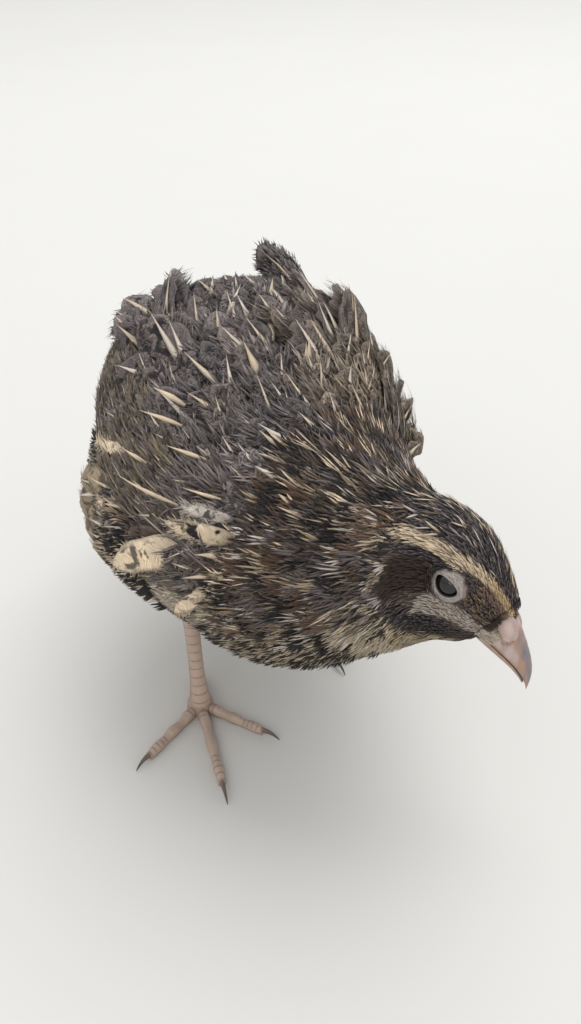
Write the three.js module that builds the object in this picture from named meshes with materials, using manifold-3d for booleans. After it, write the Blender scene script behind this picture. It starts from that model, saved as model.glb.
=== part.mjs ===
// A coturnix quail, life size, standing with one foot ahead of the other, its head low and turned to its left.
// Millimetres. +X is the way the breast points, +Y is the bird's left and +Z is up.
import * as THREE from "three";
import { mergeVertices } from "three/addons/utils/BufferGeometryUtils.js";
import Module from "manifold-3d";

const wasm = await Module();
wasm.setup();

// Driving dimensions
const GAP = 0.35; // between pieces that touch
const TRUNK_CENTRE = [0, 1, 62]; // over the floor point under the body's middle
const TRUNK_RADII = [50, 33.5, 31]; // half length, half width, half height
const TRUNK_PITCH = 15; // degrees nose down
const TRUNK_ROLL = -6; // degrees, left side up
const HEAD_AT = [58, 22.6, 64]; // the point midway between the eyes
const HEAD_YAW = 33; // degrees to the bird's left
const HEAD_PITCH = 32; // degrees nose down
const HEAD_ROLL = 18; // degrees, left side down
const EYE_OUT = 5.2; // from the head's middle to the eyeball's centre
const EYE_RADIUS = 4.0;
const LID_RADIUS = 3.45; // outside of the bare ring round the eye
const LID_OPENING = [2.6, 2.1]; // half length and half height of the open eye
const CUP = 86; // degrees from an eyeball's rim to its flats, so that its poles are closed
const BILL_BASE = 11.8; // ahead of the eyes
const BILL_LENGTH = 13.0;
const BILL_WIDTH = 6.6;
const LOWER_BILL_LENGTH = 11.4;
const FOOT_RIGHT = [14.3, -21.5]; // where the toes meet, on the floor
const FOOT_LEFT = [-15, 17];
const ANKLE_HEIGHT = 4.4;
const HOCK_HEIGHT = 31;
const HOCK_BACK = 5; // the hock stands this far behind the foot
const TARSUS_RADIUS = 2.1;
const THIGH_RADII = [12, 3.6]; // at the belly and at the hock
const KNEE_AHEAD = 7; // of the hock
const KNEE_UP = 17; // over the hock
const KNEE_IN = 0.12; // towards the body's middle, as a share of the foot's distance from it
const PAD_RADIUS = 3.4;
const TOE_RADIUS = 1.5;
const VANE_ROOT = 0.9; // thickness of a feather's vane
const VANE_TIP = 0.5;

const { degToRad: rad, radToDeg: degrees, lerp, smoothstep, clamp } = THREE.MathUtils;
const vec = (p) => new THREE.Vector3(...p);

// A repeatable random number in 0..1 for each seed.
function chance(seed) {
  const x = Math.sin(seed * 127.1 + 11.7) * 43758.5453;
  return x - Math.floor(x);
}

// Points closer than this are one point.
const SAME_POINT = 1e-4;

// A closed solid from loose triangles, given as three points each, with its faces turned outwards.
function solid(points) {
  const loose = new THREE.BufferGeometry();
  const values = new Float32Array(points.flatMap((p) => [p.x, p.y, p.z]));
  loose.setAttribute("position", new THREE.BufferAttribute(values, 3));
  const merged = mergeVertices(loose, SAME_POINT);
  const index = merged.index.array;
  const faces = [];
  for (let i = 0; i < index.length; i += 3) {
    const [a, b, c] = index.slice(i, i + 3);
    if (a !== b && b !== c && c !== a) faces.push(a, b, c);
  }
  const build = (triVerts) => {
    const vertProperties = merged.attributes.position.array;
    const mesh = new wasm.Mesh({ numProp: 3, vertProperties, triVerts: new Uint32Array(triVerts) });
    mesh.merge();
    return new wasm.Manifold(mesh);
  };
  const made = build(faces);
  return made.volume() > 0 ? made : build(faces.reverse());
}

// Pieces fused into one body, less the cuts. Only the largest closed surface stays.
function fuse(pieces, cuts = []) {
  const made = cuts.reduce((rest, cut) => rest.subtract(cut), wasm.Manifold.union(pieces));
  return made.decompose().sort((a, b) => b.volume() - a.volume())[0];
}

// A body of rings with flat ends. at(a, b) is the point at the share a of its length and b of the way round.
function loft(rings, steps, at) {
  const grid = [];
  for (let i = 0; i <= rings; i++) {
    grid.push(Array.from({ length: steps }, (_, j) => at(i / rings, j / steps)));
  }
  const points = [];
  for (let i = 0; i < rings; i++) {
    for (let j = 0; j < steps; j++) {
      const k = (j + 1) % steps;
      const [a, b, c, d] = [grid[i][j], grid[i][k], grid[i + 1][k], grid[i + 1][j]];
      points.push(a, c, b, a, d, c);
    }
  }
  const middle = (ring) =>
    ring.reduce((sum, p) => sum.add(p), new THREE.Vector3()).divideScalar(steps);
  const [first, last] = [middle(grid[0]), middle(grid[rings])];
  for (let j = 0; j < steps; j++) {
    const k = (j + 1) % steps;
    points.push(first, grid[0][j], grid[0][k], last, grid[rings][k], grid[rings][j]);
  }
  return solid(points);
}

// A thin plate between two faces, both split into like triangles. top(a, c) and under(a, c) give the points at
// the share a of its length and at c across it, from -1 to 1.
function plate(long, wide, top, under) {
  const sheet = (side) => {
    const rows = [];
    for (let i = 0; i <= long; i++) {
      rows.push(Array.from({ length: wide + 1 }, (_, j) => side(i / long, (2 * j) / wide - 1)));
    }
    return rows;
  };
  const [upper, lower] = [sheet(top), sheet(under)];
  const points = [];
  for (let i = 0; i < long; i++) {
    for (let j = 0; j < wide; j++) {
      const corners = (s) => [s[i][j], s[i][j + 1], s[i + 1][j + 1], s[i + 1][j]];
      const [a, b, c, d] = corners(upper);
      const [e, f, g, h] = corners(lower);
      points.push(a, b, c, a, c, d, e, g, f, e, h, g);
    }
  }
  const rim = [];
  for (let j = 0; j < wide; j++) rim.push([0, j]);
  for (let i = 0; i < long; i++) rim.push([i, wide]);
  for (let j = wide; j > 0; j--) rim.push([long, j]);
  for (let i = long; i > 0; i--) rim.push([i, 0]);
  rim.forEach(([i, j], n) => {
    const [k, l] = rim[(n + 1) % rim.length];
    points.push(upper[i][j], lower[k][l], upper[k][l], upper[i][j], lower[i][j], lower[k][l]);
  });
  return solid(points);
}

// The head's own axes: ahead, left and up, as the bird holds it.
const ahead = new THREE.Vector3(
  Math.cos(rad(HEAD_YAW)) * Math.cos(rad(HEAD_PITCH)),
  Math.sin(rad(HEAD_YAW)) * Math.cos(rad(HEAD_PITCH)),
  -Math.sin(rad(HEAD_PITCH)),
);
const left = new THREE.Vector3(-Math.sin(rad(HEAD_YAW)), Math.cos(rad(HEAD_YAW)), 0).applyAxisAngle(
  ahead,
  -rad(HEAD_ROLL),
);
const headFrame = new THREE.Matrix4()
  .makeBasis(ahead, left, ahead.clone().cross(left))
  .setPosition(...HEAD_AT);
const headTurn = new THREE.Matrix4().extractRotation(headFrame);
const inHead = (x, y, z) => new THREE.Vector3(x, y, z).applyMatrix4(headFrame);
const headLoft = (rings, steps, at) => loft(rings, steps, (a, b) => inHead(...at(a, b)));

// The bird's flesh and close plumage: ellipsoids that blend into each other. Each has a centre, three half
// sizes and the distance over which it blends.
const tilted = (pitch, roll = 0) =>
  new THREE.Matrix4().makeRotationFromEuler(new THREE.Euler(rad(-roll), rad(pitch), 0, "YXZ"));
const lump = (centre, radii, blend, turn = new THREE.Matrix4()) => ({
  centre: vec(centre),
  radii: vec(radii),
  blend,
  back: turn.clone().invert(),
});
const headLump = (place, radii, blend) => lump(inHead(...place).toArray(), radii, blend, headTurn);
const BODY = [
  lump(TRUNK_CENTRE, TRUNK_RADII, 0, tilted(TRUNK_PITCH, TRUNK_ROLL)),
  lump([22, 1, 50], [25, 26, 20.5], 12), // breast
  lump([-30, 0, 73], [27, 27, 20], 14, tilted(-12)), // rump
  lump([-50, 1, 64], [18, 13, 12], 16, tilted(-30)), // tail's root
  lump([-19, 17, 76.5], [32, 16, 15.5], 14, tilted(10)), // left shoulder feathers
  lump([-12, -13.5, 67], [31, 14.5, 16.5], 14, tilted(12)), // right shoulder feathers
  lump([-13, -23.5, 49.5], [24, 14.5, 16], 12), // right flank
  lump([-15, 22.5, 54], [24, 14, 17], 12), // left flank
  lump([34, 8, 63], [21, 20, 18], 12, tilted(-10)), // neck's root
  lump([48, 16.5, 62], [13, 13, 13], 9), // neck
  headLump([-4, 0, 0.9], [12.6, 9.0, 9.7], 5), // cranium
  headLump([5.5, 0, -1.4], [9, 6.4, 6.4], 4), // face
  headLump([-2, 0, -4.6], [9.5, 7.2, 5.6], 4), // cheeks and throat
];

function awayFrom({ centre, radii, back }, p) {
  const near = p.clone().sub(centre).applyMatrix4(back).divide(radii);
  const k0 = near.length();
  const k1 = near.divide(radii).length();
  return k1 < 1e-9 ? -10 : (k0 * (k0 - 1)) / k1;
}

// Distance from a point to the body's surface, negative inside.
function away(p) {
  return BODY.reduce((d, part) => {
    const e = awayFrom(part, p);
    const overlap = part.blend ? Math.max(part.blend - Math.abs(d - e), 0) / part.blend : 0;
    return Math.min(d, e) - (overlap * overlap * part.blend) / 4;
  }, 1e3);
}

// The line through the body from the tail's root to the bill's. Its stations are 0, 1, 2 ... at these points.
const SPINE_POINTS = [
  vec([-61, 1, 58]),
  vec([-45, 1, 65.5]),
  vec([-23, 1, 67.5]),
  vec([2, 1, 62]),
  vec([24, 3, 59]),
  vec([39, 9, 60.5]),
  vec([49, 15.8, 63.0]),
  inHead(0, 0, -1),
  inHead(BILL_BASE - 0.6, 0, -2),
];
const SPINE = new THREE.CatmullRomCurve3(SPINE_POINTS, false, "catmullrom", 0.5);
const TAIL_AT = 0;
const TRUNK_RINGS = 24;
const NECK_FROM = 4.7;
const HEAD_FROM = 6.4;
const BILL_AT = SPINE_POINTS.length - 1;

// Centre and axes of the body's cross-section at a station.
function section(station) {
  const share = clamp(station / BILL_AT, 0, 1);
  const along = SPINE.getTangent(share);
  const side = new THREE.Vector3(0, 0, 1).cross(along).normalize();
  side.applyAxisAngle(along, -rad(HEAD_ROLL) * smoothstep(station, 5.5, 7));
  return { centre: SPINE.getPoint(share), along, side, top: along.clone().cross(side) };
}

// How far the surface is from the spine along a ray: out in strides, then by halving the last stride.
function reach(centre, ray) {
  const STRIDE = 2;
  let out = 1;
  while (out < 90 && away(centre.clone().addScaledVector(ray, out)) < 0) out += STRIDE;
  let inner = out - STRIDE;
  for (let n = 0; n < 16; n++) {
    const middle = (inner + out) / 2;
    if (away(centre.clone().addScaledVector(ray, middle)) < 0) inner = middle;
    else out = middle;
  }
  return out;
}

// The point at a height over the skin, at a station and at an angle in degrees from the back towards the left.
function onSkin(station, angle, height = 0) {
  const { centre, side, top } = section(station);
  const ray = top.multiplyScalar(Math.cos(rad(angle))).addScaledVector(side, Math.sin(rad(angle)));
  return centre.clone().addScaledVector(ray, Math.max(reach(centre, ray) + height, 0.4));
}

// A stretch of the body between two stations. behind moves its first ring on, clear of the piece behind.
function stretch(from, to, rings, steps, { height = 0, behind = 0, finish = (p) => p } = {}) {
  return loft(rings, steps, (a, b) => {
    const p = onSkin(lerp(from, to, a), 360 * b, height);
    if (a === 0) p.addScaledVector(section(from).along, behind);
    return a === 1 ? finish(p) : p;
  });
}

// Half width of a feather along its length, as a share: narrow root, broad middle, round tip.
function featherShape(along, tipStart) {
  const root = Math.min(1, 0.45 + 1.2 * along);
  const tip = clamp((along - tipStart) / (1 - tipStart), 0, 1);
  return root * Math.sqrt(Math.max(1 - tip * tip, 0.06));
}

// A feather's vane over the skin, from its root to its tip, each a station, an angle and a height. tilt lifts
// one edge, droop bends both edges down, and the vane keeps to its limits.
function vane({ root, tip, width, tilt = 0, droop = 0.1, bend = 1.3, long = 3, wide = 2, limits }) {
  const { lowest, from, to } = limits;
  const face = (side) => (along, across) => {
    const station = lerp(root[0], tip[0], along);
    const angle = lerp(root[1], tip[1], along);
    const half = (width / 2) * featherShape(along, 0.6);
    const level = lerp(root[2], tip[2], Math.pow(along, bend));
    const height = level + half * (tilt * across - droop * across * across);
    const thick = lerp(VANE_ROOT, VANE_TIP, along) / 2;
    const radius = onSkin(station, angle, level).distanceTo(section(station).centre);
    const turned = clamp(angle + degrees((across * half) / radius), from, to);
    return onSkin(station, turned, Math.max(height, lowest) + side * thick);
  };
  return plate(long, wide, face(1), face(-1));
}

// Rows of vanes. Each row has a station for its roots and one for its tips, the angles between which its
// vanes are spread, their number, their width, and the heights of roots and tips.
function rows(list, side, tiltOf, limits) {
  return list.flatMap(({ from, to, angles, tips = angles, count, width, rise, long }, tier) =>
    Array.from({ length: count }, (_, n) => {
      const share = n / (count - 1);
      const seed = tier * 31 + n + (side < 0 ? 500 : 0);
      const angle = lerp(...angles, share);
      return vane({
        root: [from + 0.08 * (chance(seed) - 0.5), side * angle, rise[0]],
        tip: [
          to + 0.16 * (chance(seed + 7) - 0.5),
          side * (lerp(...tips, share) + 3 * (chance(seed + 3) - 0.5)),
          rise[1] + 0.8 * (chance(seed + 13) - 0.5),
        ],
        width: width * (0.92 + 0.16 * chance(seed + 19)),
        tilt: tiltOf(angle) * side,
        long,
        limits,
      });
    }),
  );
}

// Torso: the trunk with the ruffled feathers of the back
const BACK_LIMITS = { lowest: -5, from: -42, to: 42 };
const BACK_ROWS = [
  { from: 1.1, to: 0.15, angles: [-30, 30], count: 4, width: 11, rise: [-1.2, 3.0] },
  { from: 1.65, to: 0.75, angles: [-31, 31], count: 5, width: 11, rise: [-1.2, 4.6] },
  { from: 2.15, to: 1.3, angles: [-30, 30], count: 4, width: 12, rise: [-1.2, 5.0] },
  { from: 2.7, to: 1.85, angles: [-31, 31], count: 5, width: 12, rise: [-1.2, 4.4] },
  { from: 3.25, to: 2.4, angles: [-30, 30], count: 4, width: 11, rise: [-1.2, 3.6] },
  { from: 3.8, to: 2.95, angles: [-29, 29], count: 4, width: 10, rise: [-1.2, 2.8] },
  { from: 4.3, to: 3.5, angles: [-24, 24], count: 3, width: 10, rise: [-1.2, 2.2] },
];
// One long feather of the lower back stands up, its tip curled over to the right.
const RAISED = {
  root: [1.6, 35, -1.5],
  tip: [0.85, 28, 19],
  width: 12,
  droop: 0.35,
  bend: 0.8,
  long: 6,
  limits: BACK_LIMITS,
};

function torso() {
  const trunk = stretch(TAIL_AT, NECK_FROM, TRUNK_RINGS, 26);
  const feathers = rows(BACK_ROWS, 1, (angle) => 0.008 * angle, BACK_LIMITS);
  return fuse([trunk, ...feathers, vane(RAISED)]);
}

// Folded wings: a thick pad on the flank with the wing's feathers in tiers
const WING = { front: 4.35, rear: 1.0, upper: [47, 47], lower: [104, 86], thick: 2.2, under: 0.5 };
const WING_ROWS = [
  // primaries, secondaries, then great, middle and lesser coverts
  { from: 1.9, to: 0.35, angles: [64, 86], tips: [57, 74], count: 4, width: 9, rise: [1.8, 2.8], long: 4 },
  { from: 2.5, to: 1.05, angles: [57, 90], tips: [55, 84], count: 5, width: 10.5, rise: [1.8, 3.6], long: 4 },
  { from: 3.1, to: 1.95, angles: [57, 93], tips: [56, 88], count: 4, width: 13, rise: [1.6, 3.8] },
  { from: 3.7, to: 2.75, angles: [57, 93], tips: [56, 91], count: 4, width: 12.5, rise: [1.6, 3.6] },
  { from: 4.2, to: 3.4, angles: [61, 89], tips: [60, 90], count: 3, width: 9.5, rise: [1.4, 3.2] },
];

function wing(side) {
  const limits = { lowest: 1.4, from: side > 0 ? 44 : -125, to: side > 0 ? 125 : -44 };
  const face = (outer) => (along, across) => {
    const station = lerp(WING.front, WING.rear, along);
    const taper = Math.sqrt(1 - 0.92 * Math.pow(2 * along - 1, 4));
    const [upper, lower] = [lerp(...WING.upper, along), lerp(...WING.lower, along)];
    const angle = (upper + lower) / 2 + (across * (lower - upper) * taper) / 2;
    const swell = 0.9 + WING.thick * taper * Math.sqrt(1 - 0.9 * across * across);
    return onSkin(station, side * angle, WING.under + (outer ? swell : 0));
  };
  const pad = plate(12, 5, face(true), face(false)).subtract(swollenTrunk);
  return fuse([pad, ...rows(WING_ROWS, side, () => 0.16, limits)]);
}

// Tail: a short core behind the trunk, tail feathers in a fan and a row of coverts over them
const TAIL = { length: 36, droop: 12, fan: 24, core: 13, radii: [8.6, 7.0], start: 3 };
const TAIL_FEATHERS = { pairs: 5, middle: 2.5, shorter: 1.6, lower: 0.9, width: 7.5, lift: 1.6 };
const TAIL_COVERTS = { spread: 14, length: 24, shorter: 2, width: 11, lift: 4.2 };

function tail() {
  const { centre, along, side, top } = section(TAIL_AT);
  const place = (back, across, up) =>
    centre
      .clone()
      .addScaledVector(along, -back)
      .addScaledVector(side, across)
      .addScaledVector(top, up);
  const core = loft(6, 16, (a, b) => {
    const shrink = Math.sqrt(1 - 0.9 * a * a);
    const turn = rad(360 * b);
    const up = TAIL.radii[1] * shrink * Math.cos(turn) - 0.35 * TAIL.core * a * a;
    return place(GAP + TAIL.core * a, TAIL.radii[0] * shrink * Math.sin(turn), up);
  });
  const blade = (yaw, length, width, lift) => {
    const face = (sign) => (a, across) => {
      const out = TAIL.start + length * a;
      const half = (width / 2) * featherShape(a, 0.7);
      const sag = Math.tan(rad(TAIL.droop)) * out * (0.55 + 0.45 * a);
      const fold = 0.1 * half * across * (Math.sign(yaw) - across);
      const thick = lerp(VANE_ROOT, VANE_TIP, a) / 2;
      return place(
        out * Math.cos(rad(yaw)) - across * half * Math.sin(rad(yaw)),
        out * Math.sin(rad(yaw)) + across * half * Math.cos(rad(yaw)),
        lift - sag - 0.11 * Math.abs(yaw) + fold + sign * thick,
      );
    };
    return plate(4, 2, face(1), face(-1));
  };
  const feathers = [];
  for (let n = 0; n < TAIL_FEATHERS.pairs; n++) {
    const { middle, shorter, lower, width, lift } = TAIL_FEATHERS;
    const yaw = lerp(middle, TAIL.fan, n / (TAIL_FEATHERS.pairs - 1));
    for (const hand of [-1, 1]) {
      feathers.push(blade(hand * yaw, TAIL.length - TAIL.start - shorter * n, width, lift - lower * n));
    }
  }
  for (let n = -1; n <= 1; n++) {
    const { spread, length, shorter, width, lift } = TAIL_COVERTS;
    feathers.push(blade(n * spread, length - shorter * Math.abs(n), width, lift));
  }
  return fuse([core, ...feathers]);
}

// Head
function head() {
  const toHead = headFrame.clone().invert();
  const atBill = (p) => p.applyMatrix4(toHead).setX(BILL_BASE).applyMatrix4(headFrame);
  const skull = stretch(HEAD_FROM, BILL_AT, 13, 26, { behind: GAP, finish: atBill });
  return fuse([skull], [socket(1), socket(-1)]);
}

// A round shape on an eye's axis, from radii and heights along it.
function eyeTurned(hand, profile) {
  const rings = profile.length - 1;
  return headLoft(rings, 16, (a, b) => {
    const [radius, out] = profile[Math.round(a * rings)];
    const turn = rad(360 * b);
    return [radius * Math.cos(turn), hand * (EYE_OUT + out), radius * Math.sin(turn)];
  });
}

const arc = (radius, from, to, steps) =>
  Array.from({ length: steps + 1 }, (_, i) => {
    const turn = rad(lerp(from, to, i / steps));
    return [radius * Math.cos(turn), radius * Math.sin(turn)];
  });

const eye = (hand) => eyeTurned(hand, arc(EYE_RADIUS, -CUP, CUP, 8));

// The eye's hole: a cup with its own clearance, so that the flats of cup and eye don't cross
const socket = (hand) =>
  eyeTurned(hand, [
    ...arc(EYE_RADIUS + 1.4 * GAP, -CUP, 10, 6),
    [LID_RADIUS + GAP, 2.0], // at the ring's inner face
    [LID_RADIUS + GAP + 0.6, 8], // wider, out past the cheek
  ]);

// The bare ring round an eye, with an opening that is longer than high and pointed at its ends
function lid(hand) {
  const steps = 20;
  const ball = EYE_RADIUS + GAP;
  const overBall = (radius, over) => Math.sqrt((ball + over) ** 2 - radius * radius);
  const edgeAt = (turn) => {
    const [long, high] = LID_OPENING;
    const power = 1.7;
    const sum = Math.abs(Math.cos(turn) / long) ** power + Math.abs(Math.sin(turn) / high) ** power;
    return sum ** (-1 / power);
  };
  const at = (i, j) => {
    const turn = (2 * Math.PI * i) / steps;
    const edge = edgeAt(turn);
    const middle = (edge + LID_RADIUS) / 2;
    const [radius, over] = [
      [edge, 0.02],
      [edge + 0.12, 0.6],
      [middle, 0.75],
      [LID_RADIUS, 0.55],
      [LID_RADIUS, 0.02],
      [middle, 0.02],
    ][j % 6];
    const out = hand * (EYE_OUT + overBall(radius, over));
    return inHead(radius * Math.cos(turn), out, radius * Math.sin(turn));
  };
  const points = [];
  for (let i = 0; i < steps; i++) {
    for (let j = 0; j < 6; j++) {
      const [a, b, c, d] = [at(i, j), at(i + 1, j), at(i + 1, j + 1), at(i, j + 1)];
      points.push(a, b, c, a, c, d);
    }
  }
  return solid(points);
}

// Bill: the heights of its ridge, its mouth line and its underside along it, in the head's axes
const ridgeAt = (a) => 1.5 - 2.0 * a - 4.7 * Math.pow(a, 2.3);
const mouthAt = (a) => -3.5 - 1.5 * a - 0.9 * Math.pow(a, 4);
const undersideAt = (a) => mouthAt(a) - 2.2 * Math.pow(Math.max(1 - 1.08 * a, 0), 0.7) - 0.5;
const billWidthAt = (a) => BILL_WIDTH * Math.pow(1 - a, 0.75) + 0.9;

function billHalf(upper) {
  const length = upper ? BILL_LENGTH : LOWER_BILL_LENGTH;
  return headLoft(9, 14, (share, b) => {
    const a = (share * length) / BILL_LENGTH;
    const turn = rad(360 * b);
    const mouth = mouthAt(a) + (upper ? GAP / 2 : -GAP / 2);
    const tall = upper ? ridgeAt(a) - mouth : undersideAt(a) - mouth;
    const out = Math.max(upper ? Math.cos(turn) : -Math.cos(turn), 0);
    const width = billWidthAt(a) * (upper ? 1 : 0.86);
    return [BILL_BASE + GAP + share * length, (width / 2) * Math.sin(turn), mouth + out * tall];
  });
}

// The nostril slits and the flaps over them: where they are from the bill's base, their half sizes and their
// slope in degrees, for the left side
const NOSTRIL_FLAP = { place: [3.7, 2.0, -0.5], radii: [3.2, 1.4, 1.5], slope: 20 };
const NOSTRIL_SLIT = { place: [4.4, 3.3, -1.9], radii: [2.0, 0.9, 0.4], slope: 22 };
const TRIM = { long: 6, radius: 9 }; // of the block that cuts the flaps flush with the bill's base

// A pebble in the head's axes, on either side of the bill
const pebble = ({ place: [out, aside, up], radii, slope }, hand) =>
  headLoft(5, 8, (a, b) => {
    const turn = Math.PI * lerp(0.03, 0.97, a);
    const round = 2 * Math.PI * b;
    return new THREE.Vector3(
      -radii[0] * Math.cos(turn),
      radii[1] * Math.sin(turn) * Math.sin(round),
      radii[2] * Math.sin(turn) * Math.cos(round),
    )
      .applyMatrix4(tilted(slope))
      .add(vec([BILL_BASE + out, hand * aside, up]))
      .toArray();
  });

function billUpper() {
  const flaps = [-1, 1].map((hand) => pebble(NOSTRIL_FLAP, hand));
  const slits = [-1, 1].map((hand) => pebble(NOSTRIL_SLIT, hand));
  const behind = headLoft(1, 8, (a, b) => {
    const turn = rad(360 * b);
    return [BILL_BASE + lerp(-TRIM.long, GAP, a), TRIM.radius * Math.sin(turn), TRIM.radius * Math.cos(turn)];
  });
  return fuse([billHalf(true), ...flaps], [...slits, behind]);
}

// Legs: each stands on its foot with the hock behind it, and has three toes ahead and a short one behind.
// A toe has its turn outwards from straight ahead, its length and its claw's length.
const TOES = { inner: [-45, 19, 4.6], middle: [0, 26, 5.4], outer: [50, 20, 4.6], hind: [-168, 8.5, 3.6] };
const SCUTES = 9;
const SCUTE_RISE = 0.2;
const JOINT_RISE = 0.1; // how much thicker a toe is at its joints, as a share

function leg(name, hand, [x, y], heading) {
  const foot = new THREE.Vector3(x, y, 0);
  const way = (yaw) => new THREE.Vector3(Math.cos(rad(heading + yaw)), Math.sin(rad(heading + yaw)), 0);
  const across = new THREE.Vector3(0, 0, 1).cross(way(0));
  const hock = foot.clone().addScaledVector(way(0), -HOCK_BACK).setZ(HOCK_HEIGHT);
  const knee = hock.clone().add(vec([KNEE_AHEAD, -KNEE_IN * y, KNEE_UP]));

  // Feathered thigh, from inside the belly to the hock
  const bone = hock.clone().sub(knee);
  const over = bone.clone().cross(across).normalize();
  const thigh = (extra) =>
    loft(10, 18, (a, b) => {
      const radius = lerp(...THIGH_RADII, Math.pow(a, 0.8)) + extra;
      const turn = rad(360 * b);
      return knee
        .clone()
        .addScaledVector(bone, a * (1 + extra / bone.length()))
        .addScaledVector(across, radius * Math.cos(turn))
        .addScaledVector(over, radius * Math.sin(turn));
    });
  add(`thigh_${name}`, fuse([thigh(0)], [swollenTrunk]), PLUMAGE);

  // Shank, with a row of broad scutes down its front
  const ankle = foot.clone().setZ(ANKLE_HEIGHT + GAP);
  const shank = hock.clone().sub(ankle);
  const front = across.clone().cross(shank).normalize();
  const tarsus = loft(2 * SCUTES, 9, (a, b) => {
    const turn = rad(360 * b);
    const thick = TARSUS_RADIUS * (1 + 0.34 * Math.pow(Math.abs(2 * a - 1), 3));
    const scute = Math.round(2 * SCUTES * a) % 2 && Math.cos(turn) > 0.4 ? SCUTE_RISE : 0;
    const p = ankle
      .clone()
      .addScaledVector(shank, 1.1 * a)
      .addScaledVector(front, (1.1 * thick + scute) * Math.cos(turn))
      .addScaledVector(across, 0.92 * thick * Math.sin(turn));
    return a === 0 ? p.setZ(ankle.z) : p;
  });
  add(`tarsus_${name}`, fuse([tarsus], [thigh(GAP)]), SKIN);

  // Ball of the foot
  const pad = loft(4, 12, (a, b) => {
    const radius = PAD_RADIUS * (a === 0 ? 0.85 : lerp(1, 0.76, a * a));
    const turn = rad(360 * b);
    return foot
      .clone()
      .addScaledVector(way(0), radius * Math.cos(turn))
      .addScaledVector(across, radius * Math.sin(turn))
      .setZ(ANKLE_HEIGHT * a);
  });
  add(`foot_${name}`, pad, SKIN);

  for (const [toe, [yaw, length, clawLength]] of Object.entries(TOES)) {
    const line = way(yaw * hand);
    const wide = new THREE.Vector3(0, 0, 1).cross(line);
    const at = (out, aside, up) =>
      foot.clone().addScaledVector(line, out).addScaledVector(wide, aside).setZ(up);
    const joints = toe === "hind" ? 1 : 3;
    const start = PAD_RADIUS + GAP;
    const knuckle = (a) => 1 - JOINT_RISE * Math.cos(2 * Math.PI * joints * a);
    const girth = (a) => TOE_RADIUS * lerp(0.9, 0.72, a) * knuckle(a);
    const made = loft(3 * joints, 8, (a, b) => {
      const turn = rad(360 * b);
      const up = girth(a) * Math.max(1 + 1.08 * Math.cos(turn), 0);
      return at(lerp(start, length, a), girth(a) * Math.sin(turn), up);
    });
    add(`toe_${toe}_${name}`, made, SKIN);
    const claw = loft(4, 6, (a, b) => {
      const radius = 0.8 * girth(1) * Math.pow(1 - a, 0.75) + 0.12;
      const turn = rad(360 * b);
      const level = lerp(1.15 * girth(1), 0.2 + radius, a * a) + 0.4 * Math.sin(Math.PI * a);
      const up = Math.max(level + radius * Math.cos(turn), 0.02);
      return at(length + GAP + clawLength * a, 0.8 * radius * Math.sin(turn), up);
    });
    add(`claw_${toe}_${name}`, claw, CLAW);
  }
}

function material(colour, roughness) {
  return new THREE.MeshStandardMaterial({ color: colour, roughness, metalness: 0 });
}
const PLUMAGE = material(0x5a4c44, 0.85);
const HORN = material(0xa8948c, 0.45);
const SKIN = material(0xb09a90, 0.6);
const LID = material(0xc8c0b8, 0.6);
const EYE = material(0x14100e, 0.08);
const CLAW = material(0x5c4c40, 0.4);

const quail = new THREE.Group();

function add(name, made, look) {
  const mesh = made.getMesh();
  const geometry = new THREE.BufferGeometry();
  geometry.setAttribute("position", new THREE.BufferAttribute(mesh.vertProperties, 3));
  geometry.setIndex(new THREE.BufferAttribute(mesh.triVerts, 1));
  geometry.computeVertexNormals();
  const piece = new THREE.Mesh(geometry, look);
  piece.name = name;
  quail.add(piece);
}

const swollenTrunk = stretch(TAIL_AT, NECK_FROM, TRUNK_RINGS, 26, { height: GAP });
add("torso", torso(), PLUMAGE);
add("neck", stretch(NECK_FROM, HEAD_FROM, 6, 26, { behind: GAP }), PLUMAGE);
add("head", head(), PLUMAGE);
add("wing_left", wing(1), PLUMAGE);
add("wing_right", wing(-1), PLUMAGE);
add("tail", tail(), PLUMAGE);
for (const [name, hand] of [["left", 1], ["right", -1]]) {
  add(`eye_${name}`, eye(hand), EYE);
  add(`eyelid_${name}`, lid(hand), LID);
}
add("bill_upper", billUpper(), HORN);
add("bill_lower", billHalf(false), HORN);
leg("left", 1, FOOT_LEFT, 4);
leg("right", -1, FOOT_RIGHT, -3);

// The origin is on the floor, under the middle of the bird's box.
const box = new THREE.Box3().setFromObject(quail);
const middle = box.getCenter(new THREE.Vector3());
quail.position.set(-middle.x, -middle.y, -box.min.z);

export default quail;
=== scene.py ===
# %% [markdown]
# # A coturnix quail, standing
# A quail's looks are its feathers: a few hundred broad ones on the back and wings, and many thousands of small
# locks on the head, neck and breast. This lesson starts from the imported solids, which give every size and place,
# and dresses them. Each part is a surface worked out with numpy, so the whole coat takes seconds, not hours.

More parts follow.
